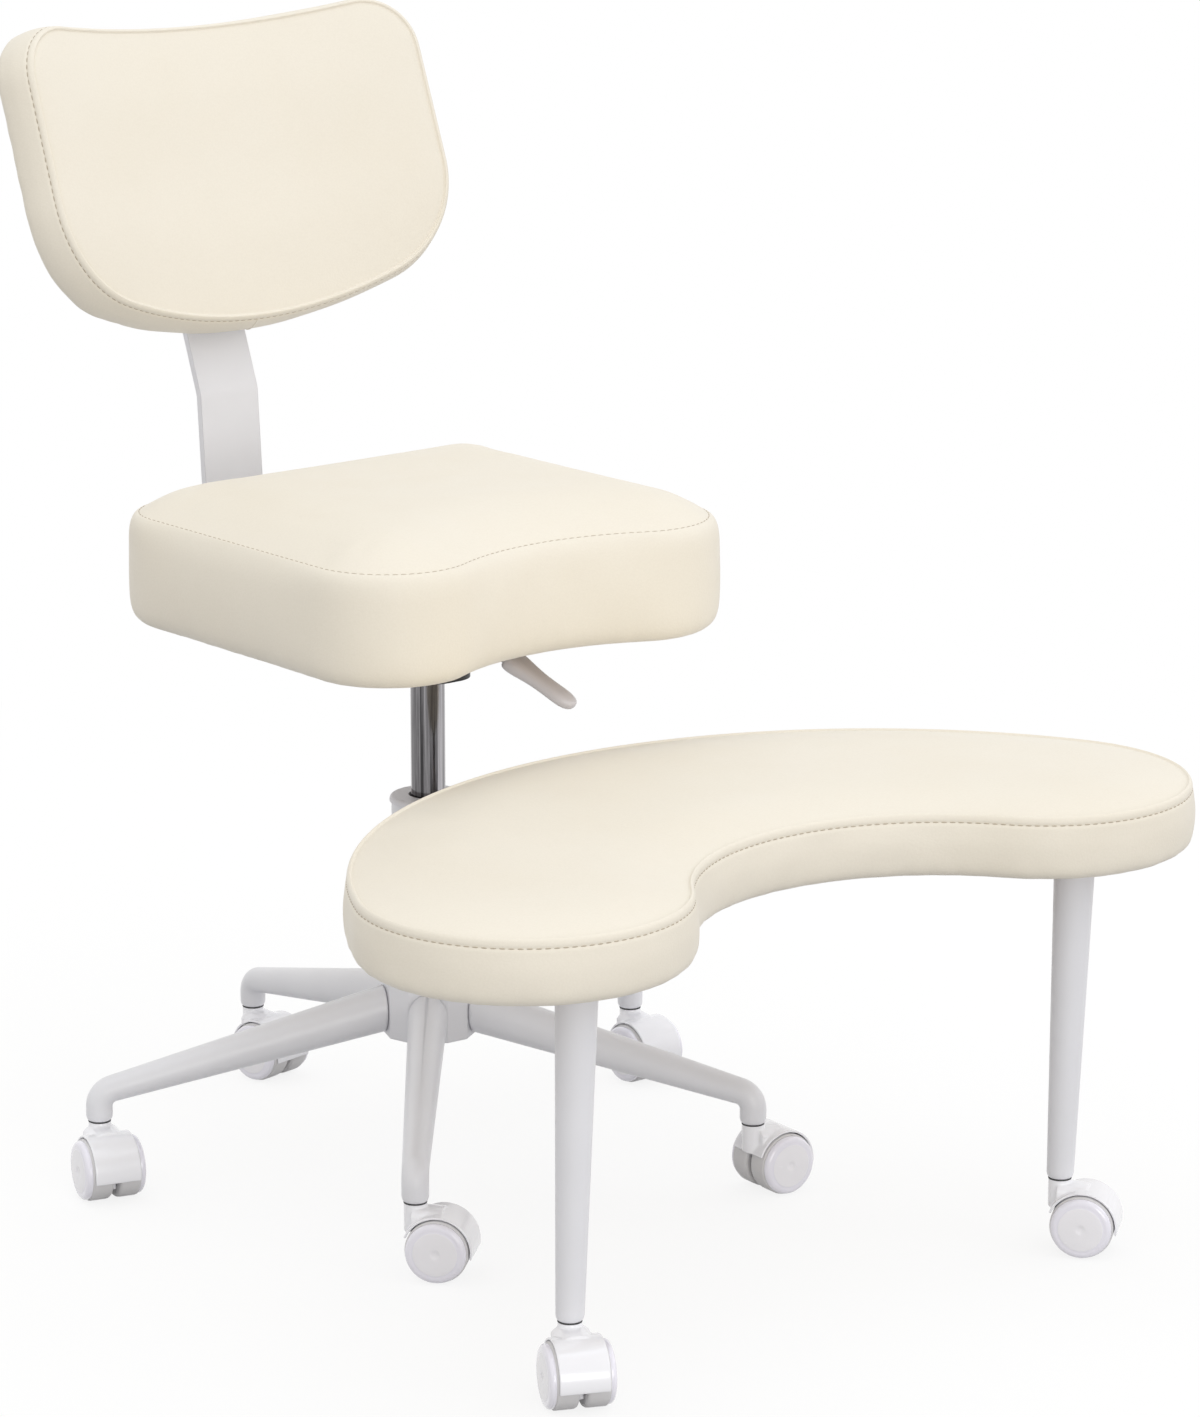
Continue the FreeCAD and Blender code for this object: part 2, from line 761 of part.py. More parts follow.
def plate_middle():
    return s.plate_length / 2 - link_reach


def plate_bolt_places():
    return corner_places(s.plate_bolt_span, s.plate_bolt_pitch, plate_middle())


def plain(places):
    return [(number(x), number(y)) for x, y in places]


def upright_bolts(name, places, head_top, grip):
    """Bolts driven upwards: the head is below head_top and the shank passes the grip into the board."""
    bolts = []
    for index, (x, y) in enumerate(places):
        head = cylinder(f"{name}_head_{index}", s.bolt_head_diameter, s.bolt_head, x, y,
                        head_top - s.bolt_head)
        shank = cylinder(f"{name}_shank_{index}", s.bolt_diameter, grip + s.bolt_bite, x, y, head_top)
        bolts.append(fuse(f"{name}_{index}", [head, shank]))
    return bolts


def lever_way():
    return cosine(s.lever_heading), sine(s.lever_heading)


def heading_turn(thing, place=(0, 0)):
    """Turn a piece drawn along +X to the lever's heading."""
    turn(thing, (0, 0, 1), s.lever_heading)
    return put(thing, *place)


def rounded_nose(name, block, radius, front):
    """Round the upright edges at a block's front face."""
    doc.recompute()
    made = doc.addObject("Part::Fillet", name)
    made.Base = block
    size = number(radius)
    made.Edges = [(index, size, size) for index, edge in enumerate(block.Shape.Edges, start=1)
                  if abs(edge.Vertexes[0].Y - number(front)) < NEAR and abs(edge.Vertexes[-1].Y - number(front)) < NEAR
                  and abs(edge.Vertexes[0].X - edge.Vertexes[-1].X) < NEAR]
    return made


def seat_mechanism():
    skin = s.pan_sheet
    plate = box("pan_flange", s.flange_width, s.flange_front + s.flange_rear, skin,
                -s.flange_width / 2, -s.flange_front, s.seat_level - skin)
    trough = box("pan_trough", s.pan_width, s.pan_front + s.pan_rear, s.seat_level - skin - pan_bottom,
                 -s.pan_width / 2, -s.pan_front, pan_bottom)
    room = box("pan_room", s.pan_width - skin * 2, s.pan_front + s.pan_rear - skin * 2,
               s.seat_level - skin * 2 - pan_bottom,
               skin - s.pan_width / 2, skin - s.pan_front, pan_bottom + skin)
    trough = rounded_nose("pan_nose", trough, s.pan_corner, 0 - s.pan_front)
    room = rounded_nose("pan_nose_room", room, s.pan_corner - skin, skin - s.pan_front)
    socket = cylinder("pan_socket", s.lift_diameter + s.socket_wall * 2, lift_top - pan_bottom,
                      z=pan_bottom)
    lift_hole = cylinder("pan_lift_hole", s.lift_diameter, lift_top, z=pan_bottom - s.pan_sheet)
    lug_half = s.lever_pin_diameter
    lugs = []
    for side in (-1, 1):
        offset = (s.lever_lug_gap / 2 + s.lever_lug / 2) * side - s.lever_lug / 2
        lug = box(f"pan_lug_{side}", lug_half * 2, s.lever_lug,
                  s.seat_level - skin - lever_level + lug_half,
                  s.lever_pivot - lug_half, offset, lever_level - lug_half)
        lugs.append(lug)
    pin_hole = cylinder("pan_pin_hole", s.lever_pin_diameter + s.running_gap * 2, s.pan_width,
                        s.lever_pivot, -s.pan_width / 2, lever_level, ALONG_Y)
    drilled_lugs = heading_turn(cut("pan_lugs", fuse("pan_lugs", lugs), [pin_hole]))
    along, across = lever_way()
    mouth_low = lever_level - s.lever_slot * SLOT_BELOW
    slot = box("pan_slot", s.pan_front, s.lever_slot, s.seat_level - skin - mouth_low,
               s.lever_pivot * along + s.lever_slot / 2 * across,
               s.lever_pivot * across - s.lever_slot / 2 * along, mouth_low)
    turn(slot, (0, 0, 1), s.lever_heading)
    holes = [cylinder(f"pan_bolt_hole_{index}", bolt_hole, s.pan_sheet * 3, x, y,
                      s.seat_level - s.pan_sheet * 2) for index, (x, y) in enumerate(seat_bolt_places())]
    shell = cut("pan_shell", fuse("pan_walls", [plate, trough]), [room])
    body = fuse("pan", [shell, socket, drilled_lugs])
    node("seat_mechanism", cut("pan", body, [lift_hole, slot, *holes]))
    bolts = upright_bolts("seat_bolt", seat_bolt_places(), s.seat_level - s.pan_sheet, s.pan_sheet)
    node("seat_plate_bolts", group("seat_bolts", bolts))


def rod_bend(name, reach, level):
    """Ball that joins the lever rod's straight lengths where it bends."""
    ball = doc.addObject("Part::Sphere", name)
    bind(ball, Radius=s.lever_rod_diameter / 2)
    return put(ball, reach, 0, level)


def height_lever():
    """Bent rod that presses the valve, and the paddle on its outer end, drawn along +X and turned."""
    finger = cylinder("lever_finger", s.lever_rod_diameter, s.lever_pivot + s.lever_finger,
                      -s.lever_finger, 0, lever_level, ALONG_X)
    knuckle = rod_bend("lever_knuckle", s.lever_pivot, lever_level)
    run = s.lever_knee - s.lever_pivot
    shank = cylinder("lever_shank", s.lever_rod_diameter, run / cosine(s.lever_dip), s.lever_pivot, 0, lever_level)
    turn(shank, (0, 1, 0), 90.0 + number(s.lever_dip))
    knee_level = lever_level - run * tangent(s.lever_dip)
    knee = rod_bend("lever_bend", s.lever_knee, knee_level)
    root = s.lever_rod_diameter / 4
    stub_length = root + s.lever_bite
    stub = cylinder("lever_stub", s.lever_rod_diameter, stub_length, s.lever_knee, 0, knee_level)
    turn(stub, (0, 1, 0), 90.0 + number(s.lever_droop))
    pin = cylinder("lever_pin", s.lever_pin_diameter, s.lever_lug_gap + s.lever_lug * 2, s.lever_pivot,
                   -s.lever_lug_gap / 2 - s.lever_lug, lever_level, ALONG_Y)
    rod = heading_turn(fuse("lever_rod", [finger, knuckle, shank, knee, stub, pin]))
    node("lever_rod", rod)

    tip = root + s.paddle_length
    body = doc.addObject("PartDesign::Body", "paddle_body")
    drawing = sketch_on(body, "paddle_side", "XY_Plane")
    half = s.paddle_width / 2
    neck = s.lever_rod_diameter
    draw_polygon(drawing, [
        (root, -neck), (root + s.lever_grip, -neck), (tip - s.lever_grip, -half),
        (tip, -half * PADDLE_TIP), (tip, half * PADDLE_TIP), (tip - s.lever_grip, half),
        (root + s.lever_grip, neck), (root, neck),
    ])
    blade = pad(body, "paddle_blade", drawing, s.paddle_thickness, both_ways=True)
    round_edges(body, "paddle_soft", blade, s.paddle_thickness * PADDLE_ROUND, lambda edge: True)
    bore = cylinder("paddle_bore", s.lever_rod_diameter, stub_length, lie=ALONG_X)
    paddle = cut("paddle", body, [bore])
    tilt = FreeCAD.Rotation(FreeCAD.Vector(0, 1, 0), number(s.lever_droop))
    way = FreeCAD.Rotation(FreeCAD.Vector(0, 0, 1), number(s.lever_heading))
    paddle.Placement.Rotation = way.multiply(tilt)
    along, across = lever_way()
    put(paddle, s.lever_knee * along, s.lever_knee * across, knee_level)
    node("lever_handle", paddle)


# Seat pad and the bar behind it

def seat_pad():
    low = number(s.seat_level)
    margin = number(s.seat_tuck) + number(s.board_margin)
    thickness = number(s.board_thickness)
    gap = number(s.pad_gap)
    board = slab(seat_outline, margin, low, thickness)
    holes = plain(seat_bolt_places()) + plain(bar_bolt_places())
    hole = number(bolt_hole)
    board = drilled(board, holes, hole, low, thickness)
    node("seat_board", shaped("seat_board", board))
    tightest = min(number(s.seat_corner), number(s.seat_rear_corner))
    form = pad_form(seat_outline, low, number(s.seat_side), number(s.seat_crown), number(s.seat_bulge),
                    number(s.seat_tuck), tightest * CORNER_REACH)
    recess = slab(seat_outline, margin - gap, low, thickness + gap)
    node("seat_cushion", shaped("seat_cushion", form.cut(recess)))


def bar_path():
    """Corners of the bar's middle line in the YZ plane, from under the seat up behind the backrest."""
    level = s.seat_level - s.bar_thickness / 2
    lean = tangent(s.bar_lean)
    tilt = tangent(s.back_tilt)
    behind = s.back_offset + s.bar_thickness / 2 / cosine(s.back_tilt)
    knee_z = (behind - s.bar_rear + level * lean - s.back_level * tilt) / (lean - tilt)
    knee_y = s.bar_rear + (knee_z - level) * lean
    top = (knee_y + s.bar_up_length * sine(s.back_tilt), knee_z + s.bar_up_length * cosine(s.back_tilt))
    return [(bar_front, level), (s.bar_rear, level), (knee_y, knee_z), top]


def thick_line(points, half):
    """Both sides of a bent strip about its middle line, as one closed outline."""
    ways = []
    for start, end in zip(points, points[1:]):
        run = math.hypot(end[0] - start[0], end[1] - start[1])
        ways.append(((end[0] - start[0]) / run, (end[1] - start[1]) / run))
    outlines = []
    for side in (1, -1):
        row = []
        for index, (x, y) in enumerate(points):
            before = ways[max(index - 1, 0)]
            after = ways[min(index, len(ways) - 1)]
            normal = (-before[1] - after[1], before[0] + after[0])
            scale = half * side / (1 + before[0] * after[0] + before[1] * after[1])
            row.append((x + normal[0] * scale, y + normal[1] * scale))
        outlines.append(row)
    return outlines[0] + outlines[1][::-1]


def back_bar():
    points = [(number(y), number(z)) for y, z in bar_path()]
    half = number(s.bar_thickness) / 2
    width = number(s.bar_width)
    outline = thick_line(points, half)
    corners = [FreeCAD.Vector(-width / 2, y, z) for y, z in outline]
    strip = Part.Face(Part.makePolygon(corners + corners[:1])).extrude(FreeCAD.Vector(width, 0, 0))
    bend = number(s.bar_bend)
    for middle in points[1:-1]:
        for reach in (bend - half, bend + half):
            strip = round_bend(strip, middle, reach, half)
    low = number(s.seat_level) - number(s.bar_thickness)
    hole = number(bolt_hole)
    strip = drilled(strip, plain(bar_bolt_places()), hole, low, number(s.bar_thickness))
    for place, way in back_screw_lines():
        sheet = number(s.bar_thickness)
        tool = Part.makeCylinder(hole / 2, sheet * 3, place - way * sheet, way)
        strip = strip.cut(tool)
    node("back_bar", shaped("back_bar", strip))
    bolts = upright_bolts("bar_bolt", bar_bolt_places(), s.seat_level - s.bar_thickness, s.bar_thickness)
    node("back_bar_bolts", group("bar_bolts", bolts))


def round_bend(strip, middle, reach, half):
    """Round the strip's edge at a bend: the inner edge has the small radius, the outer the large one."""
    near = [edge for edge in strip.Edges
            if abs(edge.Vertexes[0].X - edge.Vertexes[-1].X) > half
            and math.hypot(edge.CenterOfMass.y - middle[0],
                           edge.CenterOfMass.z - middle[1]) < half * BEND_SEARCH]
    inner = reach < number(s.bar_bend)
    ordered = sorted(near, key=lambda edge: solid_about(strip, edge, half), reverse=inner)
    return strip.makeFillet(reach, ordered[:1])


def solid_about(strip, edge, half):
    """How much of a small ball about the edge is solid: most at the inside of a bend."""
    ball = Part.makeSphere(half / 2, edge.CenterOfMass)
    return strip.common(ball).Volume


# Backrest, drawn flat in its own plane and tilted into place

def back_placement():
    rotation = FreeCAD.Rotation(FreeCAD.Vector(1, 0, 0), 90.0 - number(s.back_tilt))
    return FreeCAD.Placement(vector(0, s.back_offset, s.back_level), rotation)


def back_screw_places():
    """Screw places in the backrest's plane: two rows below the bar's top end."""
    top_y, top_z = bar_path()[-1]
    top = (top_y - s.back_offset) * sine(s.back_tilt) + (top_z - s.back_level) * cosine(s.back_tilt)
    rows = [top - s.back_screw_inset - s.back_screw_pitch * row for row in (0, 1)]
    return plain([(s.bar_bolt_span / 2 * side, row) for side in (-1, 1) for row in rows])


def back_screw_lines():
    place = back_placement()
    way = place.Rotation.multVec(FreeCAD.Vector(0, 0, 1))
    return [(place.multVec(FreeCAD.Vector(x, y, -number(s.bar_thickness))), way)
            for x, y in back_screw_places()]


def back_slices(inset):
    """Places across the backrest, each with the lowest and highest point of the outline there."""
    outline = back_outline(inset)
    frame = outline.BoundBox
    slices = []
    for share in [-place for place in BACK_SLICES[:0:-1]] + list(BACK_SLICES):
        across = frame.XMax * share
        line = Part.makeLine(FreeCAD.Vector(across, frame.YMin - frame.YLength, 0),
                             FreeCAD.Vector(across, frame.YMax + frame.YLength, 0))
        levels = [vertex.Y for vertex in outline.section(line).Vertexes]
        slices.append((share, across, min(levels), max(levels)))
    return slices


def bent_loft(inset, section):
    """Loft through upright sections that stand square to the bent backrest."""
    bend = number(s.back_bend)
    centre = FreeCAD.Vector(0, 0, number(s.back_boss + s.back_panel + s.back_depth) + bend)
    rings = []
    for share, across, low, high in back_slices(inset):
        ring = section(share, low, high)
        ring.rotate(centre, FreeCAD.Vector(0, 1, 0), -math.degrees(across / bend))
        rings.append(ring)
    return Part.makeLoft(rings, True, False)


def back_forward(share):
    """How far the rear of the backrest comes forward from its middle to a share of its half width."""
    return number(s.back_swell) * share ** 2


def flat_section(rear, front):
    """Section of a sheet between two depths, which come forward towards the sides."""
    def section(share, low, high):
        forward = back_forward(share)
        corners = [(low, rear), (high, rear), (high, front), (low, front), (low, rear)]
        return Part.makePolygon([FreeCAD.Vector(0, level, depth + forward) for level, depth in corners])
    return section


def stuffed_section(rear, front):
    """Section of a stuffed pad: flat rear, full sides drawn in at the rear edge, crowned front."""
    tuck = number(s.back_tuck)
    bulge = number(s.back_bulge)

    def section(share, low, high):
        crown = number(s.back_crown) * (1 - share ** 2)
        behind = rear + back_forward(share)
        waist = (behind + front) / 2
        rear_low, rear_high = FreeCAD.Vector(0, low + tuck, behind), FreeCAD.Vector(0, high - tuck, behind)
        seam_low, seam_high = FreeCAD.Vector(0, low, front), FreeCAD.Vector(0, high, front)
        middle = FreeCAD.Vector(0, (low + high) / 2, front + crown)
        return Part.Wire([
            Part.makeLine(rear_low, rear_high),
            Part.Arc(rear_high, FreeCAD.Vector(0, high + bulge, waist), seam_high).toShape(),
            Part.Arc(seam_high, middle, seam_low).toShape(),
            Part.Arc(seam_low, FreeCAD.Vector(0, low - bulge, waist), rear_low).toShape(),
        ])
    return section


def boss_block():
    """Raised pad of the rear cover that the bar is screwed to."""
    width = number(s.boss_width)
    low = number(s.back_bottom + s.boss_inset)
    block = Part.makeBox(width, number(s.boss_height), number(s.back_boss + s.back_panel * BOSS_SINK),
                         FreeCAD.Vector(-width / 2, low, 0))
    upright = [edge for edge in block.Edges if abs(edge.Vertexes[0].Z - edge.Vertexes[-1].Z) > NEAR]
    return block.makeFillet(number(s.boss_corner), upright)


def backrest():
    place = back_placement()
    shell = number(s.back_boss)
    core = shell + number(s.back_panel)
    board = number(s.back_board)
    seam = core + number(s.back_depth)
    margin = number(s.back_tuck) + number(s.board_margin) / 2
    gap = number(s.pad_gap)
    hole = number(bolt_hole)
    screws = back_screw_places()
    cover = bent_loft(margin, flat_section(shell, core)).fuse(boss_block()).removeSplitter()
    cover = drilled(cover, screws, hole, 0.0, seam)
    plank = drilled(bent_loft(margin, flat_section(core, core + board)), screws, hole, 0.0, seam)
    recess = bent_loft(margin - gap, flat_section(shell, core + board + gap))
    form = bent_loft(0.0, stuffed_section(core, seam)).cut(recess)
    layers = {"backrest_rear_panel": cover, "backrest_board": plank, "backrest_cushion": form}
    for label, shape in layers.items():
        piece = shaped(label, shape)
        piece.Placement = place
        node(label, piece)
    heads = []
    back = -s.bar_thickness
    grip = s.bar_thickness + s.back_boss + s.back_panel
    for index, (x, y) in enumerate(screws):
        head = cylinder(f"back_head_{index}", s.bolt_head_diameter, s.bolt_head, x, y, back - s.bolt_head)
        shank = cylinder(f"back_shank_{index}", s.bolt_diameter, grip + s.bolt_bite, x, y, back)
        heads.append(fuse(f"back_screw_{index}", [head, shank]))
    screw_group = group("back_screws", heads)
    screw_group.Placement = place
    node("backrest_screws", screw_group)


# Footrest

def sleeve_and_link():
    low = s.hub_top + s.sleeve_base_gap + s.sleeve_flange
    high = cap_top - s.cap_height
    tube = cylinder("sleeve_tube", sleeve_diameter, high - low, z=low)
    tube_bore = cylinder("sleeve_bore", sleeve_bore, cap_top, z=s.hub_bottom)
    node("pivot_sleeve", cut("sleeve", tube, [tube_bore]))

    slide = s.stand_diameter + s.running_gap * 2
    flange = cylinder("low_bush_flange", sleeve_diameter, s.sleeve_flange, z=s.hub_top + s.sleeve_base_gap)
    low_sleeve = cylinder("low_bush_sleeve", sleeve_bore, s.cap_skirt, z=low)
    low_bore = cylinder("low_bush_bore", slide, cap_top, z=s.hub_bottom)
    low_bush = cut("low_bush", fuse("low_bush", [flange, low_sleeve]), [low_bore])
    cap = cylinder("cap_disc", cap_diameter, s.cap_height, z=high)
    cap_disc = doc.addObject("Part::Fillet", "cap_soft")
    cap_disc.Base = cap
    doc.recompute()
    rim = number(s.cap_height) * CAP_ROUND
    cap_disc.Edges = [(index, rim, rim) for index, edge in enumerate(cap.Shape.Edges, start=1)
                      if edge.Length > number(cap_diameter) and edge.CenterOfMass.z > number(high) + rim]
    skirt = cylinder("cap_skirt", sleeve_bore, s.cap_skirt, z=high - s.cap_skirt)
    skirt_bore = cylinder("cap_skirt_bore", slide, cap_top - s.cap_height / 2 - s.hub_top, z=s.hub_top)
    cap_mouth = cylinder("cap_mouth", cap_hole, cap_top, z=s.hub_top)
    cap_bush = cut("cap_bush", fuse("cap_bush", [cap_disc, skirt]), [skirt_bore, cap_mouth])
    node("sleeve_bushes", group("bushes", [low_bush, cap_bush]))

    top = s.foot_level - s.link_plate
    beam_top = high - s.link_drop
    beam = box("link_beam", s.link_width, link_reach, s.link_height, -s.link_width / 2, -link_reach,
               beam_top - s.link_height)
    beam_room = box("link_room", s.link_width - s.link_wall * 2, link_reach * 2,
                    s.link_height - s.link_wall * 2, s.link_wall - s.link_width / 2, -link_reach * OVERRUN,
                    beam_top - s.link_height + s.link_wall)
    webs = [box(f"link_web_{side}", s.link_wall, s.plate_length, top - beam_top,
                (s.link_width - s.link_wall) / 2 * side - s.link_wall / 2, -link_reach, beam_top)
            for side in (-1, 1)]
    saddle = cylinder("link_saddle", sleeve_diameter, cap_top, z=s.hub_bottom)
    plate = box("link_pad", s.plate_width, s.plate_length, s.link_plate, -s.plate_width / 2, -link_reach,
                top)
    holes = [cylinder(f"link_hole_{index}", bolt_hole, s.link_plate * 3, x, y,
                      top - s.link_plate) for index, (x, y) in enumerate(plate_bolt_places())]
    arm = cut("link_beam", beam, [beam_room, saddle])
    node("link_arm", cut("link", fuse("link", [arm, *webs, plate]), holes))


def foot_leg_places():
    return {"left": -s.foot_leg_x, "right": s.foot_leg_x}


def foot_leg_tops():
    rise = s.foot_level - socket_height
    y = s.foot_leg_y - rise * tangent(s.foot_leg_lean)
    return [(x, y) for x in foot_leg_places().values()]


def foot_legs():
    """Tapered hollow legs that lean a little; the socket for the caster stem stays upright."""
    rise = s.foot_level - socket_height
    for side, x in foot_leg_places().items():
        skin = cone(f"foot_leg_skin_{side}", s.foot_leg_tip_diameter, s.foot_leg_top_diameter, rise * OVERRUN,
                    x, s.foot_leg_y, socket_height)
        turn(skin, (1, 0, 0), s.foot_leg_lean)
        put(skin, x, s.foot_leg_y, socket_height)
        room = cone(f"foot_leg_room_{side}", s.foot_leg_tip_diameter - s.leg_wall,
                    s.foot_leg_top_diameter - s.leg_wall * 2, rise - s.foot_leg_socket - s.foot_leg_cap)
        turn(room, (1, 0, 0), s.foot_leg_lean)
        put(room, x, s.foot_leg_y - s.foot_leg_socket * sine(s.foot_leg_lean),
            socket_height + s.foot_leg_socket * cosine(s.foot_leg_lean))
        wide = s.foot_leg_top_diameter * 2
        over = box(f"foot_leg_over_{side}", wide, wide, rise, x - wide / 2, s.foot_leg_y - wide / 2,
                   s.foot_level)
        under = box(f"foot_leg_under_{side}", wide, wide, rise, x - wide / 2, s.foot_leg_y - wide / 2,
                    socket_height - rise)
        bore = cylinder(f"foot_leg_bore_{side}", stem_bore, stem_bore_depth, x, s.foot_leg_y, socket_height)
        top_x, top_y = foot_leg_tops()[list(foot_leg_places()).index(side)]
        thread = cylinder(f"foot_leg_thread_{side}", bolt_hole, s.foot_leg_cap, top_x, top_y,
                          s.foot_level - s.foot_leg_cap)
        node(f"footrest_leg_{side}", cut(f"foot_leg_{side}", skin, [room, over, under, bore, thread]))


def foot_pad():
    low = number(s.foot_level)
    margin = number(s.foot_tuck) + number(s.board_margin)
    thickness = number(s.board_thickness)
    gap = number(s.pad_gap)
    hole = number(bolt_hole)
    holes = plain(plate_bolt_places()) + plain(foot_leg_tops())
    board = drilled(slab(foot_outline, margin, low, thickness), holes, hole, low, thickness)
    node("footrest_board", shaped("footrest_board", board))
    form = pad_form(foot_outline, low, number(s.foot_side), number(s.foot_crown), number(s.foot_bulge),
                    number(s.foot_tuck), number(s.foot_lobe) * LOBE_REACH)
    recess = slab(foot_outline, margin - gap, low, thickness + gap)
    node("footrest_cushion", shaped("footrest_cushion", form.cut(recess)))
    bolts = upright_bolts("foot_bolt", plate_bolt_places(), s.foot_level - s.link_plate, s.link_plate)
    for index, (x, y) in enumerate(foot_leg_tops()):
        bolts.append(cylinder(f"foot_stud_{index}", s.bolt_diameter, s.foot_leg_cap + s.bolt_bite, x, y,
                              s.foot_level - s.foot_leg_cap))
    node("footrest_bolts", group("foot_bolts", bolts))


# Casters

def caster(label, x, y, heading):
    """Twin-wheel caster drawn with its stem on the Z axis and its wheels trailing along +X."""
    spot = FreeCAD.Placement(vector(x, y, 0), FreeCAD.Rotation(FreeCAD.Vector(0, 0, 1), heading))
    radius = wheel_radius
    hood_inside = radius + s.hood_gap
    hood_outside = hood_inside + s.hood_wall
    neck_top = socket_height - s.neck_gap
    drum = cylinder(f"{label}_drum", hood_outside * 2, s.hood_width, s.caster_trail, -s.hood_width / 2, radius,
                    ALONG_Y)
    neck = cylinder(f"{label}_neck", s.neck_diameter, neck_top - radius, z=radius)
    wells = []
    for side in (-1, 1):
        start = s.web_thickness / 2 if side > 0 else -s.web_thickness / 2 - s.hood_width
        wells.append(cylinder(f"{label}_well_{side}", hood_inside * 2, s.hood_width, s.caster_trail, start, radius,
                              ALONG_Y))
    under = box(f"{label}_under", s.wheel_diameter * 3, s.wheel_diameter * 2, s.wheel_diameter,
                -s.wheel_diameter, -s.wheel_diameter, s.hood_floor_gap - s.wheel_diameter)
    mouth = box(f"{label}_mouth", s.wheel_diameter, s.wheel_diameter * 2, radius,
                s.caster_trail - s.hood_mouth - s.wheel_diameter, -s.wheel_diameter, 0)
    stem_hole = cylinder(f"{label}_stem_hole", s.stem_diameter, s.stem_root * 2, z=neck_top - s.stem_root)
    axle_hole = cylinder(f"{label}_axle_hole", s.axle_diameter, s.hood_width, s.caster_trail, -s.hood_width / 2,
                         radius, ALONG_Y)
    hood = cut(f"{label}_hood", fuse(f"{label}_hood", [drum, neck]),
               [*wells, under, mouth, stem_hole, axle_hole])
    hood.Placement = spot
    node(f"{label}_hood", hood)

    stem = cylinder(f"{label}_stem", s.stem_diameter, s.stem_root + s.neck_gap + s.stem_reach,
                    z=neck_top - s.stem_root)
    blind = s.web_thickness / 2 + s.wheel_side_gap + s.tread_width + s.dome_height - s.axle_cover
    axle_half = blind - s.wheel_side_gap
    axle = cylinder(f"{label}_axle", s.axle_diameter, axle_half * 2, s.caster_trail, -axle_half, radius,
                    ALONG_Y)
    pins = group(f"{label}_pins", [stem, axle])
    pins.Placement = spot
    node(f"{label}_pins", pins)

    for side, tip in (("left", -90.0), ("right", 90.0)):
        wheel = wheel_body(f"{label}_{side}", blind)
        lie = FreeCAD.Rotation(FreeCAD.Vector(1, 0, 0), tip)
        hub = FreeCAD.Placement(vector(s.caster_trail, 0, radius), lie)
        wheel.Placement = spot.multiply(hub)
        node(f"{label}_wheel_{side}", wheel)


def wheel_body(name, blind):
    """Wheel turned about its axle: tread, domed face with a dimple, and a blind bore for the axle."""
    body = doc.addObject("PartDesign::Body", f"{name}_body")
    drawing = sketch_on(body, f"{name}_section", "XZ_Plane")
    radius = wheel_radius
    face = s.wheel_face_diameter / 2
    inner = s.web_thickness / 2 + s.wheel_side_gap
    tread_end = inner + s.tread_width
    outer = tread_end + s.dome_height
    bore = s.axle_diameter / 2 + s.running_gap
    draw_polygon(drawing, [
        (bore, inner), (radius - s.tread_round, inner), (radius, inner + s.tread_round),
        (radius, tread_end - s.tread_round), (radius - s.tread_round, tread_end), (face, tread_end),
        (face, tread_end + s.dome_height / 2), (face * DOME_FLAT, outer), (s.dimple_diameter / 2, outer),
        (0, outer - s.dimple_depth), (0, blind), (bore, blind),
    ])
    spun = body.newObject("PartDesign::Revolution", f"{name}_spin")
    spun.Profile = drawing
    spun.ReferenceAxis = (drawing, ["V_Axis"])
    spun.Angle = FULL_TURN
    rim_high = number(tread_end + s.dome_height / 2) - NEAR
    reach = number(face) * DOME_FLAT - NEAR
    round_edges(body, f"{name}_dome", spun, s.dome_height * DOME_ROUND,
                lambda edge: edge.Length > 2 * math.pi * reach and edge.CenterOfMass.z > rim_high)
    return body


def casters():
    for index, heading in enumerate(BASE_CASTER_HEADINGS):
        angle = leg_angle(index)
        caster(f"caster_{index + 1}", s.stem_circle_radius * cosine(angle), s.stem_circle_radius * sine(angle),
               heading)
    for offset, (side, x) in enumerate(foot_leg_places().items(), start=LEG_COUNT + 1):
        caster(f"caster_{offset}", x, s.foot_leg_y, FOOT_CASTER_HEADINGS[side])


def write_parts():
    doc.recompute()
    for thing in doc.Objects:
        if "Invalid" in thing.State or "Error" in thing.State:
            raise RuntimeError(f"{thing.Name} failed: {thing.State}")
    for piece in nodes:
        if piece.Shape.isNull() or not piece.Shape.isValid():
            raise RuntimeError(f"{piece.Label} has no valid shape")
    os.makedirs("parts", exist_ok=True)
    for piece in nodes:
        piece.Shape.exportStep(f"parts/{piece.Label}.step")


base_hub()
base_legs()
column()
seat_mechanism()
height_lever()
seat_pad()
back_bar()
backrest()
sleeve_and_link()
foot_legs()
foot_pad()
casters()
write_parts()
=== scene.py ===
from math import acos, atan2, copysign, cos, degrees, dist, exp, pi, radians, sin, sqrt, tau

import bmesh
import bpy
from mathutils import Matrix, Vector, geometry, noise
from mathutils.bvhtree import BVHTree
from mathutils.kdtree import KDTree


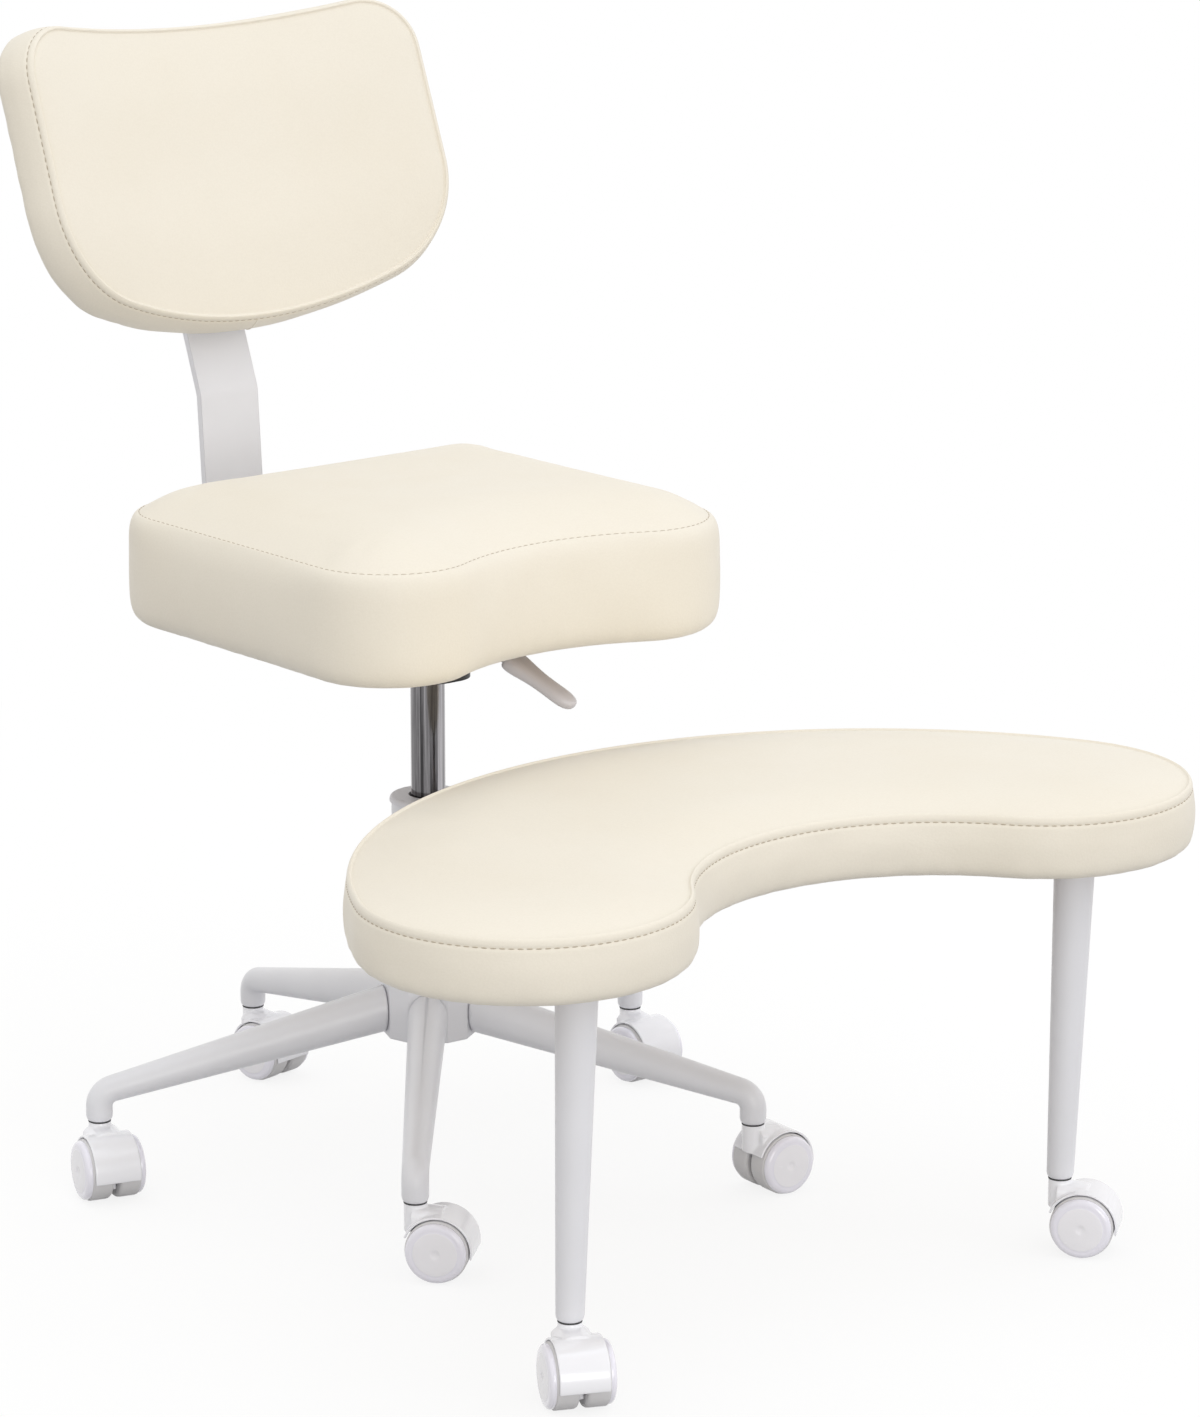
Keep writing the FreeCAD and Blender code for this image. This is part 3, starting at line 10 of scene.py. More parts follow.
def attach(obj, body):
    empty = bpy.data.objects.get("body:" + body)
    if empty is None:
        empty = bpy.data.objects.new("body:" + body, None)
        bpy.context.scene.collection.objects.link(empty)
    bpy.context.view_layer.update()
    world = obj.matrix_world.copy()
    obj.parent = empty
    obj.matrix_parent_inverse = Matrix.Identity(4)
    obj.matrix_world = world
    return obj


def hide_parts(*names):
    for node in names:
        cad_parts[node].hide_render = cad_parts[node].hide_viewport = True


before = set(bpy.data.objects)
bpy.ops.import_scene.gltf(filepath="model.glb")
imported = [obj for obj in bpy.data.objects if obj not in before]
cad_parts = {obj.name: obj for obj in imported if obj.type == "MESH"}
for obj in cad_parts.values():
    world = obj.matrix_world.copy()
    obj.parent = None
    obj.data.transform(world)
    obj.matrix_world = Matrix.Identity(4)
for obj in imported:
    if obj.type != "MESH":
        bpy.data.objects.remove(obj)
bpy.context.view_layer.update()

# Cross-legged office chair: three padded leather pieces, white painted legs, a gas lift and seven casters.
# Metres, on the solids' axes: the floor is z = 0, the column stands on the Z axis, the sitter faces -Y.

SCENE = bpy.context.scene
FULL_TURN = 360.0
HALF_TURN = 180.0
UP = Vector((0, 0, 1))

# Pads: side is the height of the band, bulge its fullness and tuck how far it is drawn in below. Crown is the
# rise of the top, reach how far in it rises, rim the inset of the board's recess, cap the most that stuffing
# moves the cover, and folds a seed and the length of the outline.

# Seat pad
SEAT_LEVEL = 0.451
SEAT_HALF_WIDTH = 0.191
SEAT_FRONT = -0.179
SEAT_REAR = 0.179
SEAT_CORNER = 0.071
SEAT_REAR_CORNER = 0.060
SEAT_NOTCH = 0.0285
SEAT_SIDE = 0.091
SEAT_CROWN = 0.021
SEAT_REACH = 0.068
SEAT_RIM = 0.0257
SEAT_BULGE = 0.003
SEAT_TUCK = 0.013
SEAT_CAP = 0.0035
SEAT_FOLDS = (3.1, 1.36)

# Footrest pad
FOOT_LEVEL = 0.322
FOOT_LOBE = 0.122
FOOT_SPREAD = 0.252
FOOT_LOBE_Y = -0.441
FOOT_REAR = -0.162
FOOT_BAY = -0.434
FOOT_SIDE = 0.051
FOOT_CROWN = 0.005
FOOT_REACH = 0.085
FOOT_RIM = 0.0227
FOOT_BULGE = 0.003
FOOT_TUCK = 0.010
FOOT_CAP = 0.003
FOOT_FOLDS = (8.7, 2.05)

# Backrest pad, in its own tilted and bent frame
BACK_TILT = radians(20.5)
BACK_Y = 0.2808
BACK_Z = 0.632
BACK_BOTTOM = 0.015
BACK_HORN_TOP = 0.268
BACK_HORN_SPREAD = 0.151
BACK_HORN = 0.047
BACK_DIP = 0.0056
BACK_CHEEK = 0.090
BACK_CHEEK_SPREAD = 0.109
BACK_CHEEK_LEVEL = 0.122
BACK_SHELL = 0.018
BACK_SEAM = 0.072
BACK_SWELL = 0.016
BACK_BEND = 0.550
BACK_CROWN = 0.006
BACK_REACH = 0.090
BACK_RIM = 0.0117
BACK_HALF_WIDTH = 0.199
BACK_BULGE = 0.0035
BACK_TUCK = 0.006
BACK_CAP = 0.003
BACK_FOLDS = (5.3, 1.12)

# Room for a board, and the steps of runs, outlines, tops and recesses
BOARD_ROOM = 0.0125
RUN_STEP = 0.001
COVER_STEP = 0.0055
FILL_STEP = 0.0085
RECESS_STEP = 0.022

# Casters: stems on the base's circle, or as x and y, and headings of the trailing wheels in degrees
STEM_CIRCLE = 0.277
FIRST_LEG = -130.0
LEG_COUNT = 5
BASE_HEADINGS = (-49.0, -4.0, -92.0, -79.0, -106.0)
FOOT_STEMS = ((-0.2465, -0.4855, -115.0), (0.2465, -0.4855, -52.0))
TRAIL = 0.020
WHEEL_RADIUS = 0.025


# Shader building

def material(name):
    """A new node material, with its node tree and its surface shader."""
    made = bpy.data.materials.new(name)
    made.use_nodes = True
    tree = made.node_tree
    return made, tree, tree.nodes["Principled BSDF"]


def set_all(thing, settings):
    for key, value in settings.items():
        setattr(thing, key, value)
    return thing


def set_inputs(node, inputs):
    for key, value in inputs.items():
        node.inputs[key].default_value = value


def add_node(tree, kind, inputs=None, **settings):
    made = set_all(tree.nodes.new(kind), settings)
    set_inputs(made, inputs or {})
    return made


def link(source, output, target, socket):
    source.id_data.links.new(source.outputs[output], target.inputs[socket])


def object_coords(tree, stretch=(1.0, 1.0, 1.0)):
    place = add_node(tree, "ShaderNodeTexCoord")
    mapping = add_node(tree, "ShaderNodeMapping", {"Scale": stretch})
    link(place, "Object", mapping, "Vector")
    return mapping


def noise_field(coords, scale, detail=3.0, roughness=0.5):
    field = add_node(coords.id_data, "ShaderNodeTexNoise",
                     {"Scale": scale, "Detail": detail, "Roughness": roughness})
    link(coords, "Vector", field, "Vector")
    return field


def ramp(field, stops, output="Fac"):
    """Colours along a field's value."""
    made = add_node(field.id_data, "ShaderNodeValToRGB")
    colours = made.color_ramp.elements
    while len(colours) < len(stops):
        colours.new(0.5)
    for element, (place, colour) in zip(colours, stops):
        element.position = place
        element.color = (*colour, 1.0)
    link(field, output, made, "Fac")
    return made


NOISE_LOW, NOISE_HIGH = 0.3, 0.7


def roughen(surface, field, low, high):
    """Roughness from low to high over the range that noise mostly fills."""
    made = add_node(field.id_data, "ShaderNodeMapRange",
                    {"From Min": NOISE_LOW, "From Max": NOISE_HIGH, "To Min": low, "To Max": high})
    link(field, "Fac", made, "Value")
    link(made, "Result", surface, "Roughness")


def paint(surface, field, stops):
    link(ramp(field, stops), "Color", surface, "Base Color")


def bump(surface, field, distance, strength, output="Fac", under=None):
    made = add_node(field.id_data, "ShaderNodeBump", {"Distance": distance, "Strength": strength})
    link(field, output, made, "Height")
    if under:
        link(under, "Normal", made, "Normal")
    link(made, "Normal", surface, "Normal")
    return made


def shade(colour, share):
    return tuple(channel * share for channel in colour)


def leather(name, colour):
    """Smooth upholstery leather: a fine pebble grain, soft creases, and a slight drift of tone and gloss."""
    made, tree, surface = material(name)
    coords = object_coords(tree)
    drift = noise_field(coords, scale=7.0, detail=4.0)
    warm = (colour[0], colour[1] * 0.994, colour[2] * 0.982)
    tones = ramp(drift, ((0.3, shade(warm, 0.988)), (0.55, colour), (0.8, shade(colour, 1.006))))
    pebbles = add_node(tree, "ShaderNodeTexVoronoi", {"Scale": 620.0, "Smoothness": 0.6}, feature="SMOOTH_F1")
    link(coords, "Vector", pebbles, "Vector")
    pores = ramp(pebbles, ((0.0, (1.0, 1.0, 1.0)), (0.75, (0.955, 0.95, 0.94))), "Distance")
    mixed = add_node(tree, "ShaderNodeMix", {"Factor": 0.55}, data_type="RGBA", blend_type="MULTIPLY")
    link(tones, "Color", mixed, "A")
    link(pores, "Color", mixed, "B")
    link(mixed, "Result", surface, "Base Color")
    rub = noise_field(coords, scale=24.0, detail=5.0)
    roughen(surface, rub, 0.44, 0.58)
    creases = noise_field(coords, scale=85.0, detail=6.0, roughness=0.6)
    first = bump(surface, creases, distance=0.0006, strength=0.16)
    bump(surface, pebbles, distance=0.0003, strength=0.22, output="Distance", under=first)
    set_inputs(surface, {"Specular IOR Level": 0.42, "Sheen Weight": 0.06, "Sheen Roughness": 0.5})
    return made


def coated_metal(name, colour, roughness, peel):
    """Powder coat: orange peel, faint drift of tone, and a soft clear gloss."""
    made, tree, surface = material(name)
    coords = object_coords(tree)
    drift = noise_field(coords, scale=9.0, detail=5.0)
    paint(surface, drift, ((0.3, shade(colour, 0.965)), (0.7, shade(colour, 1.02))))
    speckle = noise_field(coords, scale=140.0, detail=3.0)
    roughen(surface, speckle, roughness - 0.05, roughness + 0.06)
    skin = noise_field(coords, scale=520.0, detail=2.0)
    soft_edge = add_node(tree, "ShaderNodeBevel", {"Radius": 0.0014}, samples=4)
    bump(surface, skin, distance=0.00025, strength=peel, under=soft_edge)
    set_inputs(surface, {"Coat Weight": 0.18, "Coat Roughness": 0.22})
    return made


def moulded(name, colour, roughness, gloss):
    """Moulded plastic: flow marks, a fine skin texture and a glossy coat."""
    made, tree, surface = material(name)
    coords = object_coords(tree)
    flow = noise_field(object_coords(tree, (1.0, 1.0, 2.4)), scale=16.0, detail=4.0)
    paint(surface, flow, ((0.3, shade(colour, 0.97)), (0.72, shade(colour, 1.015))))
    scuff = noise_field(coords, scale=190.0, detail=6.0, roughness=0.65)
    roughen(surface, scuff, roughness - 0.04, roughness + 0.08)
    bump(surface, scuff, distance=0.0001, strength=0.12)
    set_inputs(surface, {"Coat Weight": gloss, "Coat Roughness": 0.1})
    return made


def bare_metal(name, colour, roughness, turned, line_and_reflection_tone=0.86, blend=0.2):
    """Bright metal with fine lines from turning or drawing, stretched along the other way. Where the lines'
    tone is set low they become strong dark streaks, painted reflection of dark surroundings.
    """
    made, tree, surface = material(name)
    coords = object_coords(tree, turned)
    lines = noise_field(coords, scale=60.0, detail=8.0, roughness=0.7)
    paint(surface, lines, ((0.5 - blend, shade(colour, line_and_reflection_tone)), (0.5 + blend, colour)))
    roughen(surface, lines, roughness - 0.05, roughness + 0.1)
    bump(surface, lines, distance=0.0001, strength=0.1)
    set_inputs(surface, {"Metallic": 1.0})
    return made


def plywood(name):
    """Birch face veneer: long grain along X with paler and darker bands."""
    made, tree, surface = material(name)
    coords = object_coords(tree, (2.0, 24.0, 24.0))
    figure = noise_field(coords, scale=4.0, detail=8.0, roughness=0.62)
    paint(surface, figure,
          ((0.25, (0.50, 0.35, 0.20)), (0.5, (0.66, 0.50, 0.31)), (0.8, (0.76, 0.61, 0.41))))
    roughen(surface, figure, 0.62, 0.78)
    bump(surface, figure, distance=0.0004, strength=0.25)
    return made


# Finishes: colour, roughness, and peel of a coat, gloss of a moulding or stretch of a metal's lines

IVORY_LEATHER = leather("ivory_leather", (0.846, 0.791, 0.686))
WHITE_COAT = coated_metal("white_coat", (0.79, 0.79, 0.825), 0.36, 0.10)
BLACK_COAT = coated_metal("black_coat", (0.016, 0.016, 0.017), 0.52, 0.25)
HOOD_PLASTIC = moulded("hood_plastic", (0.915, 0.915, 0.955), 0.18, 0.6)
DISC_PLASTIC = moulded("disc_plastic", (0.92, 0.91, 0.95), 0.20, 0.4)
RING_PLASTIC = moulded("ring_plastic", (0.88, 0.865, 0.95), 0.09, 0.9)
TREAD_PLASTIC = moulded("tread_plastic", (0.70, 0.69, 0.70), 0.5, 0.0)
LEVER_PLASTIC = moulded("lever_plastic", (0.68, 0.65, 0.66), 0.34, 0.1)
BUSH_PLASTIC = moulded("bush_plastic", (0.74, 0.73, 0.77), 0.42, 0.1)
SHELL_PLASTIC = moulded("shell_plastic", (0.79, 0.78, 0.785), 0.48, 0.0)
# Gas lift: its strong dark vertical streaks are painted reflection of dark surroundings
LIFT_CHROME_PAINTED_REFLECTION = bare_metal("lift_chrome_painted_reflection", (0.50, 0.485, 0.50), 0.12, (1.9, 1.9, 0.02), 0.10, 0.09)
# Washer at each caster stem: black as painted shade of the gap between hood and leg
GAP_SHADE_RUBBER = moulded("gap_shade_rubber", (0.05, 0.05, 0.052), 0.6, 0.0)
BRIGHT_STEEL = bare_metal("bright_steel", (0.60, 0.60, 0.61), 0.32, (1.0, 1.0, 0.2))
# Pins: steel darkened nearly to black as painted shade of the gap at each caster stem
PIN_STEEL_PAINTED_SHADE = bare_metal("pin_steel_painted_shade", (0.07, 0.07, 0.075), 0.40, (1.0, 1.0, 0.2))
BIRCH = plywood("birch_plywood")
# Stitches: the leather's own ivory, darkened as painted shade of the groove they sit in
THREAD_IN_PAINTED_SHADE = leather("stitch_painted_shade", (0.50, 0.43, 0.33))


# Mesh helpers

def piece(name, form, *finishes):
    """A new object in the scene, with the finishes of its faces."""
    made = bpy.data.objects.new(name, form)
    SCENE.collection.objects.link(made)
    for finish in finishes:
        form.materials.append(finish)
    return made


def mesh_of(name, points, faces):
    mesh = bpy.data.meshes.new(name)
    mesh.from_pydata(points, [], faces)
    mesh.update()
    tidy = bmesh.new()
    tidy.from_mesh(mesh)
    bmesh.ops.recalc_face_normals(tidy, faces=tidy.faces)
    tidy.to_mesh(mesh)
    tidy.free()
    mesh.shade_smooth()
    return mesh


def evaluated_mesh(thing):
    graph = bpy.context.evaluated_depsgraph_get()
    return bpy.data.meshes.new_from_object(thing.evaluated_get(graph), depsgraph=graph)


def modify(thing, name, kind, **settings):
    return set_all(thing.modifiers.new(name, kind), settings)


def bake_modifiers(thing):
    """Turn what the modifiers make into the piece's own plain mesh."""
    mesh = evaluated_mesh(thing)
    thing.modifiers.clear()
    thing.data = mesh
    return thing


def make_finer(thing):
    """Divide a piece's faces once and bake it smooth."""
    modify(thing, "finer", "SUBSURF", levels=1, render_levels=1)
    bake_modifiers(thing)
    thing.data.shade_smooth()


def circle(count):
    """Cosine and sine of even steps round a full turn."""
    ways = [tau * step / count for step in range(count)]
    return [(cos(way), sin(way)) for way in ways]


def closed_ring(count):
    """Each place on a ring with the place after it."""
    return [(index, (index + 1) % count) for index in range(count)]


def ring_faces(rings, count):
    """Faces between rings of points that follow one another."""
    return [[low + index, low + after, low + count + after, low + count + index]
            for low in range(0, (rings - 1) * count, count) for index, after in closed_ring(count)]


def tube_faces(rings, count):
    """Faces of a tube through rings of points, with its ends closed."""
    return ring_faces(rings, count) + [list(range(count)), list(range((rings - 1) * count, rings * count))]


def plan_tree(spots):
    """Search tree of points as they lie in plan."""
    tree = KDTree(len(spots))
    for index, spot in enumerate(spots):
        tree.insert((spot.x, spot.y, 0.0), index)
    tree.balance()
    return tree


def cover_tree(pad):
    """Search tree of a pad's faces."""
    return BVHTree.FromPolygons([vertex.co for vertex in pad.data.vertices],
                                [polygon.vertices for polygon in pad.data.polygons])


WELD = 0.00001
SHARP_ANGLE = radians(38.0)


def welded(mesh):
    """A form to edit, with the mesh's doubled points joined."""
    form = bmesh.new()
    form.from_mesh(mesh)
    bmesh.ops.remove_doubles(form, verts=form.verts, dist=WELD)
    return form


def cut_edges(form, point, normal, clear=True):
    """Cut a form on a plane, clear what lies behind it if asked, and give the edges of the cut."""
    cut = bmesh.ops.bisect_plane(form, geom=form.verts[:] + form.edges[:] + form.faces[:],
                                 plane_co=point, plane_no=normal, clear_inner=clear)
    return [part for part in cut["geom_cut"] if isinstance(part, bmesh.types.BMEdge)]


def crisp_piece(name, form, finish):
    """A piece from an edited form, smooth except at its sharp edges."""
    mesh = bpy.data.meshes.new(name)
    form.to_mesh(mesh)
    form.free()
    mesh.shade_smooth()
    mesh.set_sharp_from_angle(angle=SHARP_ANGLE)
    return piece(name, mesh, finish)


# Outlines as runs of points with outward normals

def arc_run(centre, radius, start, end, side=1):
    """Points along an arc; side is 1 where the outline bulges and -1 where it hollows."""
    steps = max(2, round(abs(radians(end - start)) * radius / RUN_STEP))
    run = []
    for index in range(steps + 1):
        way = radians(start + (end - start) * index / steps)
        ray = Vector((cos(way), sin(way)))
        run.append((Vector(centre) + ray * radius, ray * side))
    return run


def even_outline(runs, step):
    """Closed outline through the runs and the straight lines between them, in even steps."""
    chain = [spot for run in runs for spot in run]
    chain.append(chain[0])
    lengths = [0.0]
    for (before, _), (after, _) in zip(chain, chain[1:]):
        lengths.append(lengths[-1] + (after - before).length)
    count = round(lengths[-1] / step)
    outline = []
    at = 0
    for index in range(count):
        wanted = lengths[-1] * index / count
        while lengths[at + 1] < wanted:
            at += 1
        gap = lengths[at + 1] - lengths[at]
        share = (wanted - lengths[at]) / gap if gap > 0 else 0.0
        outline.append((chain[at][0].lerp(chain[at + 1][0], share),
                        chain[at][1].lerp(chain[at + 1][1], share).normalized()))
    return outline


def bulge_radius(spread_x, reach, corner):
    """Radius of an edge that bulges between two round corners."""
    return (spread_x ** 2 + reach ** 2 - corner ** 2) / (2 * (reach - corner))


def hollow_radius(spread_x, drop, corner):
    """Radius of an edge that hollows between two round corners."""
    depth = corner - drop
    return (spread_x ** 2 + depth ** 2 - corner ** 2) / (2 * drop)


def way_to(start, end):
    return degrees(atan2(end[1] - start[1], end[0] - start[0]))


def seat_runs():
    """Rounded square with a shallow hollow in its front edge."""
    front_x = SEAT_HALF_WIDTH - SEAT_CORNER
    rear_x = SEAT_HALF_WIDTH - SEAT_REAR_CORNER
    rear_y = SEAT_REAR - SEAT_REAR_CORNER
    front_y = SEAT_FRONT + SEAT_CORNER
    hollow = hollow_radius(front_x, SEAT_NOTCH, SEAT_CORNER)
    hollow_centre = (0.0, SEAT_FRONT + SEAT_NOTCH - hollow)
    lean = way_to((-front_x, front_y), hollow_centre)
    return [
        arc_run((rear_x, rear_y), SEAT_REAR_CORNER, 0, 90),
        arc_run((-rear_x, rear_y), SEAT_REAR_CORNER, 90, HALF_TURN),
        arc_run((-front_x, front_y), SEAT_CORNER, HALF_TURN, FULL_TURN + lean),
        arc_run(hollow_centre, hollow, lean + HALF_TURN, -lean, -1),
        arc_run((front_x, front_y), SEAT_CORNER, HALF_TURN - lean, FULL_TURN),
    ]


def foot_runs():
    """Kidney: two round lobes, a bulging edge towards the chair and a bay on the far side."""
    rear = bulge_radius(FOOT_SPREAD, FOOT_REAR - FOOT_LOBE_Y, FOOT_LOBE)
    rear_centre = (0.0, FOOT_REAR - rear)
    bay = hollow_radius(FOOT_SPREAD, FOOT_BAY - FOOT_LOBE_Y + FOOT_LOBE, FOOT_LOBE)
    bay_centre = (0.0, FOOT_BAY - bay)
    rear_way = way_to(rear_centre, (FOOT_SPREAD, FOOT_LOBE_Y))
    bay_way = way_to((-FOOT_SPREAD, FOOT_LOBE_Y), bay_centre)
    return [
        arc_run(rear_centre, rear, rear_way, HALF_TURN - rear_way),
        arc_run((-FOOT_SPREAD, FOOT_LOBE_Y), FOOT_LOBE, HALF_TURN - rear_way, FULL_TURN + bay_way),
        arc_run(bay_centre, bay, HALF_TURN + bay_way, -bay_way, -1),
        arc_run((FOOT_SPREAD, FOOT_LOBE_Y), FOOT_LOBE, HALF_TURN - bay_way, FULL_TURN + rear_way),
    ]


def back_runs():
    """Horned top with a dip, sides that widen downwards and a full round bottom."""
    horn_y = BACK_HORN_TOP - BACK_HORN
    dip = hollow_radius(BACK_HORN_SPREAD, BACK_DIP, BACK_HORN)
    dip_centre = (0.0, BACK_HORN_TOP - BACK_DIP + dip)
    right_horn, left_horn = (BACK_HORN_SPREAD, horn_y), (-BACK_HORN_SPREAD, horn_y)
    right_cheek = (BACK_CHEEK_SPREAD, BACK_CHEEK_LEVEL)
    left_cheek = (-BACK_CHEEK_SPREAD, BACK_CHEEK_LEVEL)
    dip_way = way_to(right_horn, dip_centre)
    belly = bulge_radius(BACK_CHEEK_SPREAD, BACK_CHEEK_LEVEL - BACK_BOTTOM, BACK_CHEEK)
    belly_centre = (0.0, BACK_BOTTOM + belly)
    belly_way = way_to(belly_centre, right_cheek)
    gap = dist(right_horn, right_cheek)
    side_way = way_to(right_cheek, right_horn) - degrees(acos((BACK_CHEEK - BACK_HORN) / gap))
    return [
        arc_run(right_horn, BACK_HORN, side_way, dip_way),
        arc_run(dip_centre, dip, dip_way - HALF_TURN, -dip_way, -1),
        arc_run(left_horn, BACK_HORN, HALF_TURN - dip_way, HALF_TURN - side_way),
        arc_run(left_cheek, BACK_CHEEK, HALF_TURN - side_way, HALF_TURN - belly_way),
        arc_run(belly_centre, belly, HALF_TURN - belly_way, FULL_TURN + belly_way),
        arc_run(right_cheek, BACK_CHEEK, belly_way, side_way),
    ]


def level_place(level, side):
    """Places on a pad that lies level, from its underside and the height of its side."""
    return lambda x, y, share, lift: Vector((x, y, level + share * side + lift))


def back_place(x, y, share, lift):
    """Point of the backrest, which is fuller in the middle, bent about an upright axis and tilted."""
    rear = BACK_SHELL + BACK_SWELL * (x / BACK_HALF_WIDTH) ** 2
    depth = rear + share * (BACK_SEAM - rear) + lift
    arm = BACK_SEAM + BACK_BEND - depth
    way = x / BACK_BEND
    across = arm * sin(way)
    forward = BACK_SEAM + BACK_BEND - arm * cos(way)
    return Vector((across, BACK_Y + y * sin(BACK_TILT) - forward * cos(BACK_TILT),
                   BACK_Z + y * cos(BACK_TILT) + forward * sin(BACK_TILT)))


# Padded pieces. Rings of a cover's edge are a depth and an inset under the seam, an inset and a lift over it.
# A welted edge stands up as a thin ridge with stitches under it; a flat edge is sewn in the seam itself.

WELTED_UNDER = ((0.0140, 0.0), (0.0098, 0.0), (0.0079, 0.0001), (0.0067, 0.0011), (0.0055, 0.0002),
                (0.0036, 0.0001), (0.0017, 0.0003), (0.0006, 0.0009))
WELTED_OVER = ((0.0018, 0.0004), (0.0027, 0.0), (0.0034, -0.0016))
WELTED_STITCHES = 3
FLAT_UNDER = ((0.0200, 0.0), (0.0140, 0.0001), (0.0098, 0.0004), (0.0066, 0.0010), (0.0042, 0.0018),
              (0.0024, 0.0029), (0.0010, 0.0042))
FLAT_OVER = ((0.0054, -0.0002), (0.0062, -0.0010))
FLAT_STITCHES = 8
WELTED = (WELTED_UNDER, WELTED_OVER, WELTED_STITCHES)
FLAT = (FLAT_UNDER, FLAT_OVER, FLAT_STITCHES)
EDGE_ROOM = 0.004
EDGE_FADE = 0.034
VALLEY_RINGS = (0.0009, 0.0022, 0.0048, 0.0090)
VALLEY_FADE = 0.0011
CROWN_POWER = 2.6
CROWN_RINGS = (0.16, 0.25, 0.34, 0.44, 0.55)
RING_LIMIT = 0.75
HELD_RINGS = 3


def crown_lift(distance, reach, crown):
    """Height of the top above the seam at a distance inside the outline."""
    return crown * (1 - (1 - min(distance / reach, 1.0)) ** CROWN_POWER)


def inside(spot, polygon):
    hit = False
    for (x0, y0), (x1, y1) in zip(polygon, polygon[1:] + polygon[:1]):
        if (y0 > spot[1]) != (y1 > spot[1]) and spot[0] < (x1 - x0) * (spot[1] - y0) / (y1 - y0) + x0:
            hit = not hit
    return hit


FILL_ROOM = 0.7
INSIDE_ONLY = 1
FILL_MERGE = 1e-7


def fill_ring(ring, step):
    """Even triangles inside a ring: the new inner points, and faces that count the ring's points first."""
    polygon = [(spot.x, spot.y) for spot in ring]
    tree = plan_tree(ring)
    wide, long = zip(*polygon)
    inner = []
    row = 0
    y = min(long) + step / 2
    while y < max(long):
        x = min(wide) + (step / 2 if row % 2 else 0.0)
        while x < max(wide):
            if tree.find((x, y, 0.0))[2] > step * FILL_ROOM and inside((x, y), polygon):
                inner.append(Vector((x, y)))
            x += step
        row += 1
        y += step * sqrt(3) / 2
    points, _, faces, *_ = geometry.delaunay_2d_cdt(
        list(ring) + inner, closed_ring(len(ring)), [], INSIDE_ONLY, FILL_MERGE)
    return [Vector(spot) for spot in points[len(ring):]], [list(face) for face in faces]


STUFFING = {
    "quality": 5, "mass": 0.3, "tension_stiffness": 18.0, "compression_stiffness": 18.0,
    "shear_stiffness": 8.0, "bending_stiffness": 1.0, "use_pressure": True, "uniform_pressure_force": 4.0,
    "vertex_group_mass": "held",
}
STUFFING_FRAMES = 20
EVENING_ROUNDS = 3


def stuff(pad, held, cap):
    """Swell the cover with air as foam does, hold its seams, and let no point move further than the cap."""
    before = [vertex.co.copy() for vertex in pad.data.vertices]
    group = pad.vertex_groups.new(name="held")
    group.add(held, 1.0, "REPLACE")
    cloth = pad.modifiers.new("stuffing", "CLOTH")
    set_all(cloth.settings, STUFFING)
    cloth.settings.effector_weights.gravity = 0.0
    cloth.collision_settings.use_collision = False
    cloth.point_cache.frame_start = 1
    cloth.point_cache.frame_end = STUFFING_FRAMES
    for number in range(1, STUFFING_FRAMES + 1):
        SCENE.frame_set(number)
    swollen = evaluated_mesh(pad)
    moves = []
    for start, vertex in zip(before, swollen.vertices):
        move = vertex.co - start
        moves.append(move * min(1.0, cap / move.length) if move.length > 0 else move)
    pad.modifiers.clear()
    pad.vertex_groups.clear()
    SCENE.frame_set(1)
    bpy.data.meshes.remove(swollen)
    neighbours = [[] for _ in before]
    for edge in pad.data.edges:
        first, second = edge.vertices
        neighbours[first].append(second)
        neighbours[second].append(first)
    still = set(held)
    for _ in range(EVENING_ROUNDS):
        moves = [move if index in still else
                 (move + sum((moves[other] for other in neighbours[index]), Vector()))
                 / (len(neighbours[index]) + 1) for index, move in enumerate(moves)]
    for vertex, start, move in zip(pad.data.vertices, before, moves):
        vertex.co = start + move


